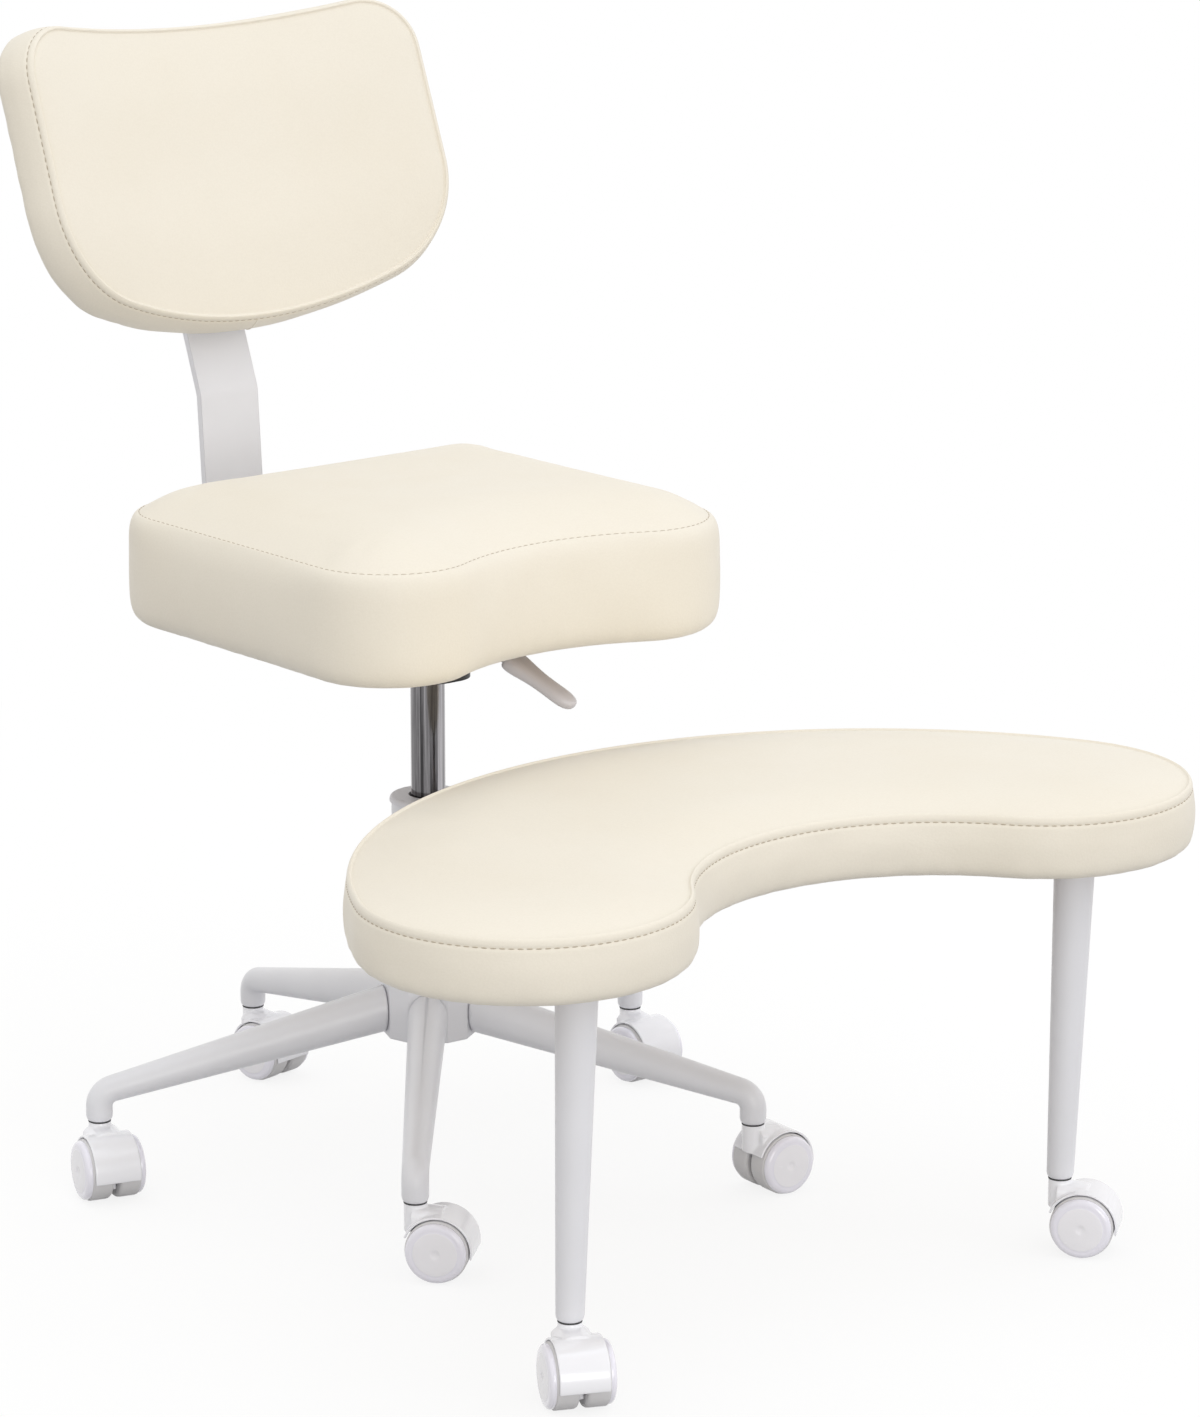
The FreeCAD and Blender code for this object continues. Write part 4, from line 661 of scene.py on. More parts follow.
def padded_piece(name, runs, place, band, edge, crown, reach, tightest, rim, pucker, cap):
    """A stuffed pad with a sewn cover: a side band, a seam, a crowned top and a recess for its board.
    Gives the piece and its stitch line."""
    outline = even_outline(runs, COVER_STEP)
    count = len(outline)
    under, over, stitches = edge
    valley, sink = over[-1]

    def top_lift(inset):
        away = max(inset - valley, 0.0)
        return crown_lift(away, reach, crown) + sink * exp(-away / VALLEY_FADE)

    rings = [(rim, 0.0, BOARD_ROOM), (rim, 0.0, 0.0), *side_rings(*band, under)]
    first_edge = len(rings) - len(under)
    rings.extend((inset, 1.0, lift) for inset, lift in over)
    last_edge = len(rings) - 1
    rings.extend((valley + away, 1.0, top_lift(valley + away)) for away in VALLEY_RINGS)
    start = valley + VALLEY_RINGS[-1] + COVER_STEP / 2
    rings.extend((reach * share, 1.0, top_lift(reach * share))
                 for share in CROWN_RINGS if start < reach * share < tightest * RING_LIMIT)
    points, flat = [], []
    for inset, share, lift in rings:
        for index, (spot, normal) in enumerate(outline):
            slack = pucker(index * COVER_STEP, share) if 0.0 < share < 1.0 else 0.0
            shifted = spot - normal * (inset + slack)
            flat.append(shifted)
            points.append(place(shifted.x, shifted.y, share, lift))
    faces = ring_faces(len(rings), count)
    edge_tree = plan_tree([spot for spot, _ in outline])
    top = (len(rings) - 1) * count
    stitch_ring = first_edge + stitches
    held = list(range(HELD_RINGS * count))
    held += range(min(stitch_ring, last_edge - 1) * count, (last_edge + 1) * count)
    for first, step, share, is_top in ((top, FILL_STEP, 1.0, True), (0, RECESS_STEP, 0.0, False)):
        inner, inner_faces = fill_ring(flat[first:first + count], step)
        offset = len(points)
        for spot in inner:
            if is_top:
                lift = top_lift(edge_tree.find((spot.x, spot.y, 0.0))[2])
            else:
                lift = BOARD_ROOM
                held.append(len(points))
            points.append(place(spot.x, spot.y, share, lift))
        for face in inner_faces:
            faces.append([first + corner if corner < count else offset + corner - count for corner in face])
    pad = piece(name, mesh_of(name, points, faces), IVORY_LEATHER)
    stuff(pad, held, cap)
    line = [pad.data.vertices[stitch_ring * count + index].co.copy() for index in range(count)]
    make_finer(pad)
    return pad, line


# Side band from below: share of the height, how far it is drawn in and how full it stands there
BAND_CURVE = (
    (0.0, 1.0, 0.0), (0.012, 0.66, 0.05), (0.035, 0.40, 0.12), (0.075, 0.17, 0.28), (0.13, 0.04, 0.5),
    (0.21, 0.0, 0.74), (0.32, 0.0, 0.92), (0.45, 0.0, 1.0), (0.58, 0.0, 0.98), (0.7, 0.0, 0.86),
)


def side_rings(side, bulge, tuck, under):
    """Cover's side band: drawn in at the lower edge, full in the middle and rolled over into the seam."""
    rings = [(drawn * tuck - full * bulge, share, 0.0) for share, drawn, full in BAND_CURVE
             if (1.0 - share) * side > under[0][0] + EDGE_ROOM]
    for below, inset in under:
        full = 1.0 - (1.0 - below / EDGE_FADE) ** 2
        rings.append((inset - full * bulge, 1.0 - below / side, 0.0))
    return rings


WAVE_FINENESS, WAVE_RISE, WAVE_DEPTH, WAVE_REACH = 22.0, 1.4, 0.0011, 0.9
TUCK_FINENESS, TUCK_RISE, TUCK_DEPTH, TUCK_REACH = 95.0, 2.0, 0.0016, 0.3


def pucker_of(seed, length):
    """Slack of a side band: long soft waves along it, and small tucks where it is pulled under."""
    def slack(along, share):
        turn = along / length * tau
        x, y = cos(turn) * length / tau, sin(turn) * length / tau
        wave = noise.noise(Vector((x * WAVE_FINENESS + seed, y * WAVE_FINENESS, share * WAVE_RISE)))
        tuck = noise.noise(Vector((x * TUCK_FINENESS, y * TUCK_FINENESS + seed, share * TUCK_RISE)))
        low = max(0.0, 1.0 - share / TUCK_REACH)
        middle = sin(pi * min(1.0, share / WAVE_REACH))
        return wave * WAVE_DEPTH * middle + tuck * TUCK_DEPTH * low
    return slack


# Join of the backrest's side band, in the middle of its lower edge

JOIN_STEPS = 16
JOIN_FROM = 0.08
JOIN_TO = 0.90
JOIN_SHIFT = (0.012, -0.002)
JOIN_RADIUS = 0.0008
JOIN_SIDES = 8
JOIN_OUT = 0.004


def band_join(pad):
    """A folded seam across the side band: a fine roll laid from its lower edge up to the welt."""
    tree = cover_tree(pad)
    path = []
    for step in range(JOIN_STEPS + 1):
        share = JOIN_FROM + (JOIN_TO - JOIN_FROM) * step / JOIN_STEPS
        x = JOIN_SHIFT[0] + (JOIN_SHIFT[1] - JOIN_SHIFT[0]) * step / JOIN_STEPS
        path.append(tree.find_nearest(back_place(x, BACK_BOTTOM - JOIN_OUT, share, 0.0))[:2])
    points = []
    for index, (spot, normal) in enumerate(path):
        before, after = path[max(index - 1, 0)][0], path[min(index + 1, JOIN_STEPS)][0]
        across = (after - before).cross(normal).normalized()
        for cosine, sine in circle(JOIN_SIDES):
            points.append(spot + (across * cosine + normal * sine) * JOIN_RADIUS)
    faces = tube_faces(JOIN_STEPS + 1, JOIN_SIDES)
    return piece(f"{pad.name}_join", mesh_of("band_join", points, faces), IVORY_LEATHER)


# Stitches

STITCH_PITCH = 0.0064
STITCH_LENGTH = 0.0046
STITCH_THICKNESS = 0.0009
STITCH_SHOW = 0.12
STITCH_BEAD = {"Segments": 6, "Rings": 5, "Radius": 0.5}


def stitch_tree():
    """Node tree that lays one stitch after another along a line."""
    tree = bpy.data.node_groups.new("stitch_row", "GeometryNodeTree")
    for name, kind in (("Geometry", "Geometry"), ("Pitch", "Float"), ("Length", "Float"),
                       ("Thickness", "Float"), ("Thread", "Material")):
        tree.interface.new_socket(name, in_out="INPUT", socket_type=f"NodeSocket{kind}")
    tree.interface.new_socket("Geometry", in_out="OUTPUT", socket_type="NodeSocketGeometry")
    given, result, curve, size, shape, place, real, smooth, dress = (add_node(tree, kind) for kind in (
        "NodeGroupInput", "NodeGroupOutput", "GeometryNodeMeshToCurve", "ShaderNodeCombineXYZ",
        "GeometryNodeTransform", "GeometryNodeInstanceOnPoints", "GeometryNodeRealizeInstances",
        "GeometryNodeSetShadeSmooth", "GeometryNodeSetMaterial"))
    spots = add_node(tree, "GeometryNodeCurveToPoints", mode="LENGTH")
    bead = add_node(tree, "GeometryNodeMeshUVSphere", STITCH_BEAD)
    lay = add_node(tree, "FunctionNodeAlignRotationToVector", axis="X")
    for source, output, target, socket in (
            (given, "Geometry", curve, "Mesh"), (curve, "Curve", spots, "Curve"),
            (given, "Pitch", spots, "Length"), (given, "Length", size, "X"),
            (given, "Thickness", size, "Y"), (given, "Thickness", size, "Z"),
            (bead, "Mesh", shape, "Geometry"), (size, "Vector", shape, "Scale"),
            (spots, "Tangent", lay, "Vector"), (spots, "Points", place, "Points"),
            (shape, "Geometry", place, "Instance"), (lay, "Rotation", place, "Rotation"),
            (place, "Instances", real, "Geometry"), (real, "Geometry", smooth, "Geometry"),
            (smooth, "Geometry", dress, "Geometry"), (given, "Thread", dress, "Material"),
            (dress, "Geometry", result, "Geometry")):
        link(source, output, target, socket)
    return tree


STITCHES = stitch_tree()


def stitch_row(name, pad, line):
    """A closed row of stitches along a line, half sunk in the pad's cover."""
    tree = cover_tree(pad)
    laid = []
    for spot in line:
        near, normal = tree.find_nearest(spot)[:2]
        laid.append(near + normal * STITCH_THICKNESS * STITCH_SHOW)
    mesh = bpy.data.meshes.new(name)
    mesh.from_pydata(laid, closed_ring(len(laid)), [])
    made = piece(name, mesh)
    modifier = modify(made, "stitches", "NODES", node_group=STITCHES)
    values = {"Pitch": STITCH_PITCH, "Length": STITCH_LENGTH, "Thickness": STITCH_THICKNESS, "Thread": THREAD_IN_PAINTED_SHADE}
    for socket in STITCHES.interface.items_tree:
        if socket.in_out == "INPUT" and socket.name in values:
            modifier[socket.identifier] = values[socket.name]
    return bake_modifiers(made)


def make_pads():
    seat, seat_line = padded_piece(
        "seat_pad", seat_runs(), level_place(SEAT_LEVEL, SEAT_SIDE), (SEAT_SIDE, SEAT_BULGE, SEAT_TUCK), FLAT,
        SEAT_CROWN, SEAT_REACH, SEAT_REAR_CORNER, SEAT_RIM, pucker_of(*SEAT_FOLDS), SEAT_CAP)
    foot, foot_line = padded_piece(
        "footrest_pad", foot_runs(), level_place(FOOT_LEVEL, FOOT_SIDE), (FOOT_SIDE, FOOT_BULGE, FOOT_TUCK),
        WELTED, FOOT_CROWN, FOOT_REACH, FOOT_LOBE, FOOT_RIM, pucker_of(*FOOT_FOLDS), FOOT_CAP)
    back, back_line = padded_piece(
        "backrest_pad", back_runs(), back_place, (BACK_SEAM - BACK_SHELL, BACK_BULGE, BACK_TUCK), WELTED,
        BACK_CROWN, BACK_REACH, BACK_HORN, BACK_RIM, pucker_of(*BACK_FOLDS), BACK_CAP)
    for pad, body, node, line in ((seat, "seat", "seat_cushion", seat_line),
                                  (foot, "footrest", "footrest_cushion", foot_line),
                                  (back, "seat", "backrest_cushion", back_line)):
        stitches = stitch_row(f"{pad.name}_stitches", pad, line)
        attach(pad, body)
        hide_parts(node)
        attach(stitches, body)
    join = band_join(back)
    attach(join, "seat")


# Casters. A wheel's profile is a radius and a distance from the caster's middle, over tread, ring and disc.
# A neck and its washer are a radius, a lower and an upper level; the washer's black is painted shade of the
# gap between hood and leg.

WHEEL_PROFILE = (
    (0.00305, 0.0026), (0.0222, 0.0026), (0.0240, 0.0032), (0.0248, 0.0046), (0.0250, 0.0065),
    (0.0250, 0.0186), (0.0248, 0.0194), (0.0243, 0.0198), (0.0237, 0.0199), (0.0238, 0.0203),
    (0.0240, 0.0212), (0.0239, 0.0223), (0.0235, 0.0233), (0.0228, 0.0241), (0.0218, 0.0247),
    (0.0206, 0.0250), (0.0194, 0.0251), (0.0182, 0.0250), (0.0175, 0.0253), (0.0166, 0.0254),
    (0.0120, 0.0255), (0.0070, 0.0256), (0.0045, 0.0256), (0.0036, 0.0255), (0.0024, 0.0250),
    (0.0010, 0.0248),
)
TREAD_POINTS = 9
RING_POINTS = 18
DISC, TREAD, RING = range(3)
DISC_DIMPLE = 0.00005
WHEEL_STEPS = 72
BLIND_BORE = 0.0216


def wheel_mesh():
    """Wheel turned about its axle, which lies along +Y from the caster's middle."""
    points = [Vector((radius * cosine, across, radius * sine))
              for radius, across in WHEEL_PROFILE for cosine, sine in circle(WHEEL_STEPS)]
    rows = len(WHEEL_PROFILE)
    faces = ring_faces(rows, WHEEL_STEPS)
    finish = [TREAD if row < TREAD_POINTS else RING if row < RING_POINTS else DISC
              for row in range(rows - 1) for _ in range(WHEEL_STEPS)]
    centre = len(points)
    points.append(Vector((0.0, WHEEL_PROFILE[-1][1] - DISC_DIMPLE, 0.0)))
    bore_end = len(points)
    points.extend([Vector((spot.x, BLIND_BORE, spot.z)) for spot in points[:WHEEL_STEPS]])
    cap = len(points)
    points.append(Vector((0.0, BLIND_BORE, 0.0)))
    last = (rows - 1) * WHEEL_STEPS
    for step, after in closed_ring(WHEEL_STEPS):
        faces.append([last + step, last + after, centre])
        faces.append([step, after, bore_end + after, bore_end + step])
        faces.append([bore_end + step, bore_end + after, cap])
        finish.extend((DISC, TREAD, TREAD))
    mesh = mesh_of("wheel", points, faces)
    mesh.polygons.foreach_set("material_index", finish)
    return mesh


HOOD_RADIUS = 0.0278
HOOD_VOXEL = 0.0007
HOOD_SOFTENING = 0.5
HOOD_ROUNDS = 7
HOOD_FACES = 0.22
SHOULDER_ALONG = (-0.001, 0.003, 0.007, 0.011, 0.015, 0.019, 0.023)
SHOULDER_ACROSS = (-1.0, -0.85, -0.6, -0.3, 0.0, 0.3, 0.6, 0.85, 1.0)
SHOULDER_HALF_WIDTH = 0.0145
SHOULDER_TOP = 0.0562
SHOULDER_FALL = 0.07
SHOULDER_BED = 0.001
SHOULDER_SKIN = 0.0003
SHOULDER_ROUND = 0.006
SHOULDER_POWER = 3
NECK = (0.0090, 0.0500, 0.0586)
NECK_RING = (0.0092, 0.0581, 0.0592)
NECK_SIDES = 40
GAP_SHADE_RING = 1
HOOD_LIP = (0.020, 0.0, 0.0273)
HOOD_LIP_SLOPE = (0.287, 0.0, 1.0)
WEB_HALF = 0.00255
WEB_FRONT, WEB_BACK = 0.006, 0.034


def add_shoulder(merged):
    """Saddle that fills the dip between the hood's neck and its drum."""
    layers = []
    for is_top in (False, True):
        rows = []
        for along in SHOULDER_ALONG:
            wall = WHEEL_RADIUS + sqrt(HOOD_RADIUS ** 2 - (along - TRAIL) ** 2) - SHOULDER_BED
            crest = SHOULDER_TOP - SHOULDER_FALL * along
            row = []
            for share in SHOULDER_ACROSS:
                drop = SHOULDER_ROUND * abs(share) ** SHOULDER_POWER
                high = max(crest - drop, wall + SHOULDER_SKIN) if is_top else wall
                row.append(merged.verts.new((along, share * SHOULDER_HALF_WIDTH, high)))
            rows.append(row)
        layers.append(rows)
    low, high = layers
    long, wide = len(SHOULDER_ALONG) - 1, len(SHOULDER_ACROSS) - 1
    for rows, turned in ((low, True), (high, False)):
        for a in range(long):
            for b in range(wide):
                corners = [rows[a][b], rows[a + 1][b], rows[a + 1][b + 1], rows[a][b + 1]]
                merged.faces.new(corners[::-1] if turned else corners)
    rim = [(a, 0) for a in range(long)] + [(long, b) for b in range(wide)]
    rim += [(a, wide) for a in range(long, 0, -1)] + [(0, b) for b in range(wide, 0, -1)]
    for (a, b), (c, d) in zip(rim, rim[1:] + rim[:1]):
        merged.faces.new([low[a][b], low[c][d], high[c][d], high[a][b]])


def add_round(form, size):
    """Upright cylinder on the stem's axis: radius, lower and upper level."""
    radius, low, high = size
    made = bmesh.ops.create_cone(form, cap_ends=True, segments=NECK_SIDES, radius1=radius, radius2=radius,
                                 depth=high - low, matrix=Matrix.Translation(UP * ((low + high) / 2)))
    return {face for vertex in made["verts"] for face in vertex.link_faces}


def trim(form, point, keep_side):
    """Cut away what lies behind a plane and close the cut."""
    bmesh.ops.holes_fill(form, edges=cut_edges(form, point, keep_side))


def add_neck_ring(mesh):
    """Black washer between the hood's neck and the leg, standing in for the shadow of the gap there: painted
    shade.
    """
    ring = bmesh.new()
    ring.from_mesh(mesh)
    for face in add_round(ring, NECK_RING):
        face.material_index = GAP_SHADE_RING
        face.smooth = len(face.verts) == 4
    ring.to_mesh(mesh)
    ring.free()


def hood_mesh(stand):
    """Moulded hood with soft edges, in the caster's own frame with its stem on the Z axis."""
    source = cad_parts["caster_1_hood"].data.copy()
    source.transform(stand.inverted())
    merged = welded(source)
    web = merged.copy()
    trim(merged, HOOD_LIP, HOOD_LIP_SLOPE)
    for point, keep_side in (((0, -WEB_HALF, 0), (0, 1, 0)), ((0, WEB_HALF, 0), (0, -1, 0)),
                             ((WEB_FRONT, 0, 0), (1, 0, 0)), ((WEB_BACK, 0, 0), (-1, 0, 0))):
        trim(web, point, keep_side)
    web.to_mesh(source)
    web.free()
    merged.from_mesh(source)
    add_shoulder(merged)
    add_round(merged, NECK)
    merged.to_mesh(source)
    merged.free()
    source.materials.clear()
    holder = piece("hood_form", source)
    modify(holder, "even", "REMESH", mode="VOXEL", voxel_size=HOOD_VOXEL)
    modify(holder, "soft_edges", "SMOOTH", factor=HOOD_SOFTENING, iterations=HOOD_ROUNDS)
    modify(holder, "fewer_faces", "DECIMATE", ratio=HOOD_FACES)
    mesh = evaluated_mesh(holder)
    bpy.data.objects.remove(holder)
    mesh.shade_smooth()
    add_neck_ring(mesh)
    return mesh


def caster_stands():
    """Each caster's own frame: its stem on the Z axis and its wheels trailing along X."""
    stands = []
    for index, heading in enumerate(BASE_HEADINGS):
        way = radians(FIRST_LEG + FULL_TURN / LEG_COUNT * index)
        stands.append((STEM_CIRCLE * cos(way), STEM_CIRCLE * sin(way), heading))
    stands.extend(FOOT_STEMS)
    return [Matrix.Translation((x, y, 0.0)) @ Matrix.Rotation(radians(heading), 4, "Z")
            for x, y, heading in stands]


def make_casters():
    stands = caster_stands()
    hood = hood_mesh(stands[0])
    wheel = wheel_mesh()
    axle = Matrix.Translation((TRAIL, 0.0, WHEEL_RADIUS))
    for number, stand in enumerate(stands, start=1):
        body = f"caster_{number}"
        shell = piece(f"{body}_shell", hood.copy(), HOOD_PLASTIC, GAP_SHADE_RUBBER)
        shell.data.transform(stand)
        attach(shell, body)
        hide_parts(f"{body}_hood")
        for side, flip in (("left", 0.0), ("right", pi)):
            mesh = wheel.copy()
            mesh.transform(stand @ axle @ Matrix.Rotation(flip, 4, "Z"))
            node = f"{body}_wheel_{side}"
            turned = piece(f"{node}_turned", mesh, DISC_PLASTIC, TREAD_PLASTIC, RING_PLASTIC)
            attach(turned, node)
            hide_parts(node)


# Legs, with their lower ends rounded: height over the end and share of the full radius there

LEG_END = 0.0593
LEG_ROUNDING = ((0.0, 0.84), (0.0006, 0.895), (0.0014, 0.94), (0.0026, 0.975), (0.0042, 1.0))
BORE_LIMIT = 0.0075
END_REACH = 0.0135
LEVEL_SLACK = 0.0001


def rounded_leg(node, stem):
    """A leg as it is in the solids, but with a round lower end about its stem."""
    rounded = welded(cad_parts[node].data)
    bmesh.ops.bridge_loops(rounded, edges=cut_edges(rounded, UP * LEG_END, UP))
    for height, _ in LEG_ROUNDING[1:]:
        cut_edges(rounded, UP * (LEG_END + height), UP, clear=False)
    for vertex in rounded.verts:
        away = Vector((vertex.co.x - stem.x, vertex.co.y - stem.y))
        over = vertex.co.z - LEG_END
        if over > LEG_ROUNDING[-1][0] or not BORE_LIMIT < away.length < END_REACH:
            continue
        for (low, narrow), (high, wide) in zip(LEG_ROUNDING, LEG_ROUNDING[1:]):
            if low - LEVEL_SLACK <= over <= high + LEVEL_SLACK:
                away *= narrow + (wide - narrow) * (over - low) / (high - low)
                break
        vertex.co.x, vertex.co.y = stem.x + away.x, stem.y + away.y
    return crisp_piece(f"{node}_painted", rounded, WHITE_COAT)


def make_legs():
    legs = [(f"base_leg_{number}", "base") for number in range(1, LEG_COUNT + 1)]
    legs += [("footrest_leg_left", "footrest"), ("footrest_leg_right", "footrest")]
    for (node, body), stand in zip(legs, caster_stands()):
        leg = rounded_leg(node, stand.translation)
        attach(leg, body)
        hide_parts(node)


# Moulded cap on the open end of the link arm

LINK_END = -0.330
LINK_HALF_WIDTH = 0.020
LINK_BOTTOM = 0.2830
LINK_TOP = 0.3186
LINK_CAP_DEPTH = 0.0025
LINK_CAP_ROUND = 0.0011
LINK_CAP_STEPS = 3
ROUND_PROFILE = 0.5


def make_link_cap():
    size = (LINK_HALF_WIDTH * 2, LINK_CAP_DEPTH, LINK_TOP - LINK_BOTTOM)
    centre = Vector((0.0, LINK_END - LINK_CAP_DEPTH / 2, (LINK_TOP + LINK_BOTTOM) / 2))
    form = bmesh.new()
    bmesh.ops.create_cube(form, size=1.0, matrix=Matrix.Translation(centre) @ Matrix.Diagonal((*size, 1.0)))
    bmesh.ops.bevel(form, geom=form.edges[:], offset=LINK_CAP_ROUND, segments=LINK_CAP_STEPS,
                    profile=ROUND_PROFILE, affect="EDGES")
    cap = crisp_piece("link_arm_cap", form, SHELL_PLASTIC)
    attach(cap, "footrest")


# Lever's paddle: distance past the rod's knee, half width and half thickness

LEVER_HEADING = radians(-67.0)
LEVER_DROOP = radians(29.0)
KNEE_REACH = 0.078
KNEE_LEVEL = 0.4285
PADDLE_STATIONS = (
    (-0.0040, 0.0096, 0.0056), (-0.0030, 0.0122, 0.0070), (0.0030, 0.0134, 0.0075),
    (0.0100, 0.0126, 0.0070), (0.0180, 0.0110, 0.0062), (0.0270, 0.0100, 0.0056),
    (0.0370, 0.0099, 0.0054), (0.0460, 0.0105, 0.0055), (0.0530, 0.0105, 0.0054),
    (0.0585, 0.0092, 0.0048), (0.0620, 0.0066, 0.0037), (0.0636, 0.0034, 0.0022),
)
PADDLE_SIDES = 28
PADDLE_POWER = 0.72


def make_paddle():
    """Moulded paddle with a broad root, a slight waist and a round end."""
    ahead = Vector((cos(LEVER_HEADING), sin(LEVER_HEADING), 0.0))
    along = ahead * cos(LEVER_DROOP) - UP * sin(LEVER_DROOP)
    across = UP.cross(ahead)
    above = along.cross(across)
    knee = ahead * KNEE_REACH + UP * KNEE_LEVEL
    points = []
    for reach, half_width, half_thickness in PADDLE_STATIONS:
        for cosine, sine in circle(PADDLE_SIDES):
            wide = copysign(abs(cosine) ** PADDLE_POWER, cosine) * half_width
            high = copysign(abs(sine) ** PADDLE_POWER, sine) * half_thickness
            points.append(knee + along * reach + across * wide + above * high)
    faces = tube_faces(len(PADDLE_STATIONS), PADDLE_SIDES)
    paddle = piece("lever_paddle", mesh_of("lever_paddle", points, faces), LEVER_PLASTIC)
    make_finer(paddle)
    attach(paddle, "lever")
    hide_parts("lever_handle")


# Finishes of the solids that show as they are; the others are painted white

NODE_FINISHES = {
    "gas_cylinder": LIFT_CHROME_PAINTED_REFLECTION, "piston_rod": BRIGHT_STEEL, "thrust_bearing": BRIGHT_STEEL,
    "valve_button": BRIGHT_STEEL, "lever_rod": BLACK_COAT, "seat_mechanism": BLACK_COAT,
    "guide_bush": BUSH_PLASTIC, "sleeve_bushes": BUSH_PLASTIC, "backrest_rear_panel": SHELL_PLASTIC,
    "seat_board": BIRCH, "backrest_board": BIRCH, "footrest_board": BIRCH,
    "seat_plate_bolts": BRIGHT_STEEL, "back_bar_bolts": BRIGHT_STEEL, "backrest_screws": BRIGHT_STEEL,
    "footrest_bolts": BRIGHT_STEEL,
}


def dress_solids():
    for name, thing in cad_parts.items():
        # Caster pins take the dark steel that is painted shade of the gap at the stem
        finish = NODE_FINISHES.get(name, PIN_STEEL_PAINTED_SHADE if name.endswith("_pins") else WHITE_COAT)
        thing.data.materials.clear()
        thing.data.materials.append(finish)


# Studio

WHITE = (1.0, 1.0, 1.0, 1.0)
WORLD_TINT = (1.0, 0.987, 0.96, 1.0)
WORLD_LIGHT = 0.93
FLOOR_HALF = 14.0
FLOOR_TONES = ((0.3, (0.96, 0.96, 0.96)), (0.7, (0.98, 0.98, 0.98)))
FLOOR_BOUNCE = (0.42, 0.42, 0.43, 1.0)
FLOOR_SHADOW = 0.16
SHADOW_REACH = 1.6


def white_for_camera(tree, lit, output, shown, socket):
    """Show one shader to the camera and in reflections, and light the scene by another."""
    path = add_node(tree, "ShaderNodeLightPath")
    seen = (path, "Is Camera Ray")
    for ray in ("Is Glossy Ray", "Is Transmission Ray"):
        either = add_node(tree, "ShaderNodeMath", operation="MAXIMUM")
        link(*seen, either, 0)
        link(path, ray, either, 1)
        seen = (either, "Value")
    mix = add_node(tree, "ShaderNodeMixShader")
    link(*seen, mix, 0)
    link(lit, output, mix, 1)
    link(shown, socket, mix, 2)
    return mix


def make_world():
    world = bpy.data.worlds.new("studio")
    SCENE.world = world
    world.use_nodes = True
    tree = world.node_tree
    lit = tree.nodes["Background"]
    set_inputs(lit, {"Color": WORLD_TINT, "Strength": WORLD_LIGHT})
    shown = add_node(tree, "ShaderNodeBackground", {"Color": WHITE, "Strength": 1.0})
    mix = white_for_camera(tree, lit, "Background", shown, "Background")
    link(mix, "Shader", tree.nodes["World Output"], "Surface")


def make_floor():
    half = FLOOR_HALF
    corners = [(-half, -half, 0), (half, -half, 0), (half, half, 0), (-half, half, 0)]
    mesh = mesh_of("floor", corners, [[0, 1, 2, 3]])
    made, tree, surface = material("pale_floor")
    coords = object_coords(tree)
    paint(surface, noise_field(coords, scale=3.0), FLOOR_TONES)
    set_inputs(surface, {"Roughness": 0.9, "Specular IOR Level": 0.0})
    glow = add_node(tree, "ShaderNodeEmission", {"Color": WHITE, "Strength": 1.0})
    away = add_node(tree, "ShaderNodeVectorMath", operation="LENGTH")
    link(coords, "Vector", away, 0)
    near = add_node(tree, "ShaderNodeMapRange",
                    {"From Min": SHADOW_REACH / 2, "From Max": SHADOW_REACH, "To Min": FLOOR_SHADOW,
                     "To Max": 0.0}, interpolation_type="SMOOTHSTEP")
    link(away, "Value", near, "Value")
    soft = add_node(tree, "ShaderNodeMixShader")
    link(near, "Result", soft, 0)
    link(glow, "Emission", soft, 1)
    link(surface, "BSDF", soft, 2)
    dull = add_node(tree, "ShaderNodeBsdfDiffuse", {"Color": FLOOR_BOUNCE})
    mix = white_for_camera(tree, dull, "BSDF", soft, "Shader")
    link(mix, "Shader", tree.nodes["Material Output"], "Surface")
    floor = piece("floor", mesh, made)


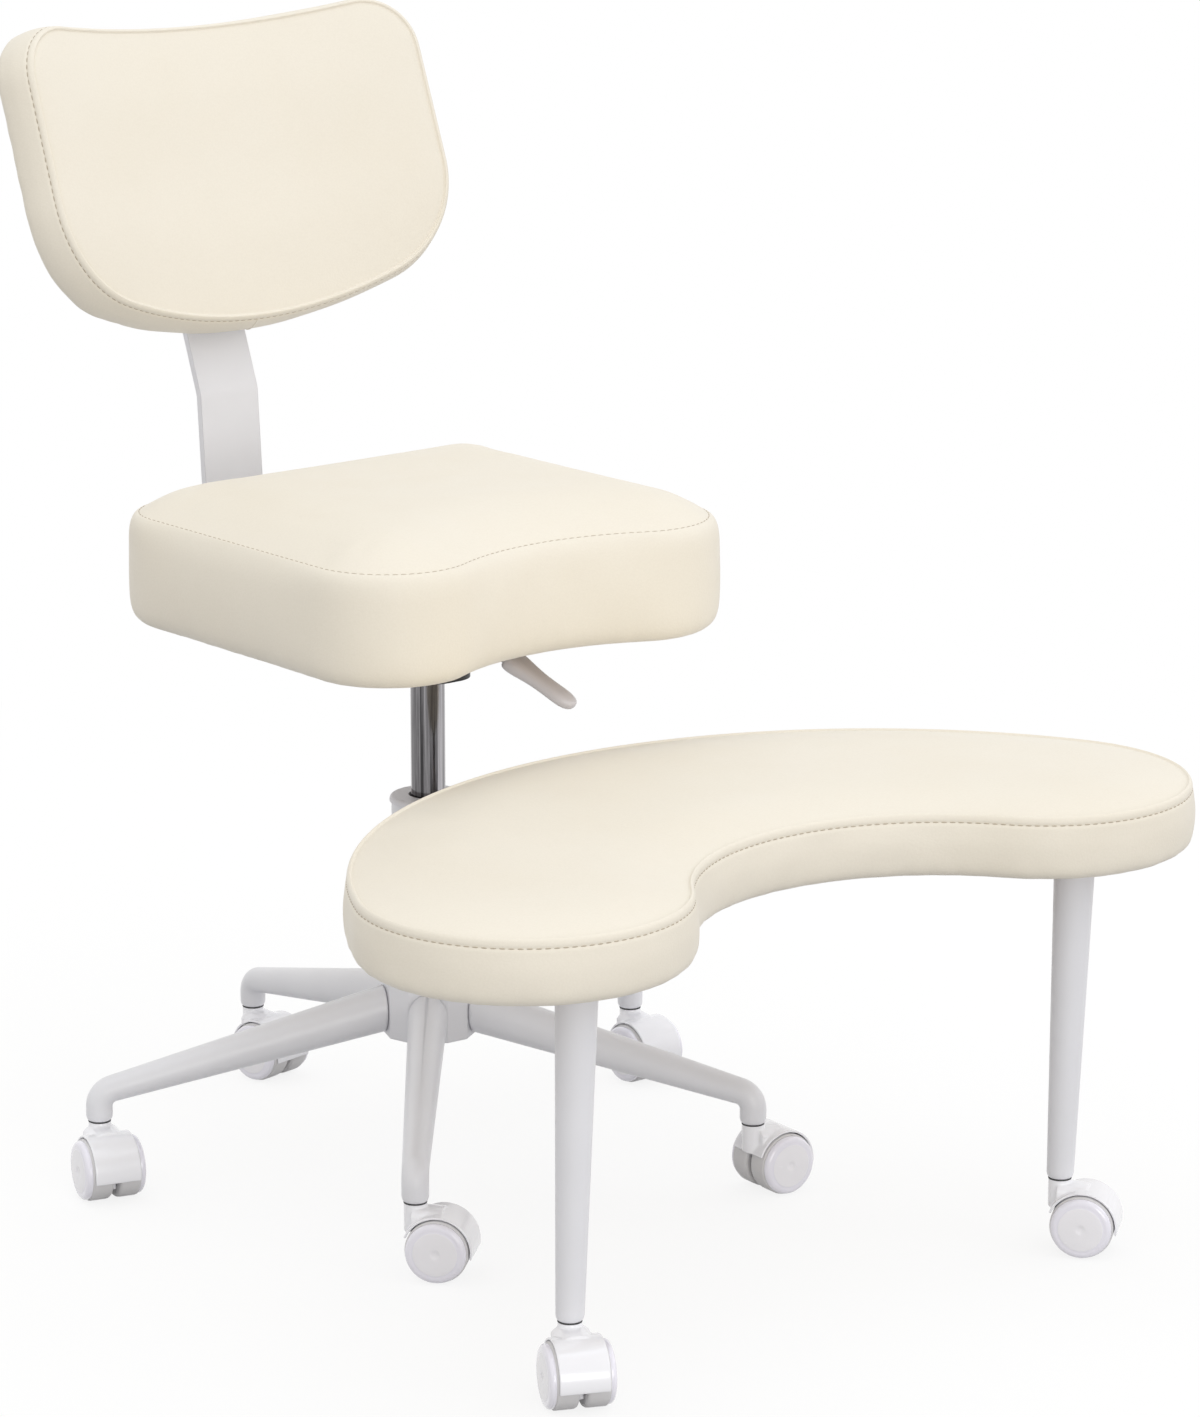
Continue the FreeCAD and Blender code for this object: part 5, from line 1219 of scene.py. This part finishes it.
# Lamps: name, place, size, power and tint
LAMPS = (
    ("key", (2.4, -5.4, 4.0), 4.0, 30.0, (0.86, 0.875, 1.0)),
    ("top", (0.0, -0.4, 6.0), 4.5, 44.0, (0.73, 0.84, 1.0)),
    ("right", (5.4, -1.5, 2.6), 4.0, 20.0, (0.92, 0.95, 1.0)),
    ("low", (-2.0, -5.6, 0.8), 3.0, 72.0, (1.0, 0.99, 0.955)),
    ("rear", (1.2, 5.4, 3.0), 4.0, 5.0, (1.0, 0.98, 0.95)),
)
LAMP_AIM = Vector((0.0, -0.1, 0.45))


def make_lamps():
    for name, place, size, power, tint in LAMPS:
        lamp = bpy.data.lights.new(name, "AREA")
        lamp.shape = "DISK"
        lamp.size = size
        lamp.energy = power
        lamp.color = tint
        holder = piece(name, lamp)
        holder.location = place
        holder.rotation_euler = (LAMP_AIM - Vector(place)).to_track_quat("-Z", "Y").to_euler()
        holder.visible_camera = False


CAMERA_AZIMUTH = radians(-39.2075)
CAMERA_ELEVATION = radians(14.0217)
CAMERA_DISTANCE = 4.22614
CAMERA_SIDE = 0.125815
CAMERA_HEIGHT = 0.396279
CAMERA_LENS = 133.15
CAMERA_SHIFT = (0.01158, -0.01369)
CAMERA_SENSOR = 36.0
CAMERA_FAR = 60.0


def make_camera():
    back = Vector((sin(CAMERA_AZIMUTH) * cos(CAMERA_ELEVATION),
                   -cos(CAMERA_AZIMUTH) * cos(CAMERA_ELEVATION), sin(CAMERA_ELEVATION)))
    right = Vector((cos(CAMERA_AZIMUTH), sin(CAMERA_AZIMUTH), 0.0))
    up = back.cross(right)
    aim = right * CAMERA_SIDE + UP * CAMERA_HEIGHT
    lens = bpy.data.cameras.new("photo_view")
    lens.lens = CAMERA_LENS
    lens.sensor_width = CAMERA_SENSOR
    lens.shift_x, lens.shift_y = CAMERA_SHIFT
    lens.clip_end = CAMERA_FAR
    camera = piece("photo_view", lens)
    turn = Matrix((right, up, back)).transposed().to_4x4()
    camera.matrix_world = Matrix.Translation(aim + back * CAMERA_DISTANCE) @ turn
    SCENE.camera = camera


SCENE.view_settings.view_transform = "Standard"
make_world()
make_floor()
make_lamps()
make_camera()
dress_solids()
make_pads()
make_casters()
make_legs()
make_link_cap()
make_paddle()
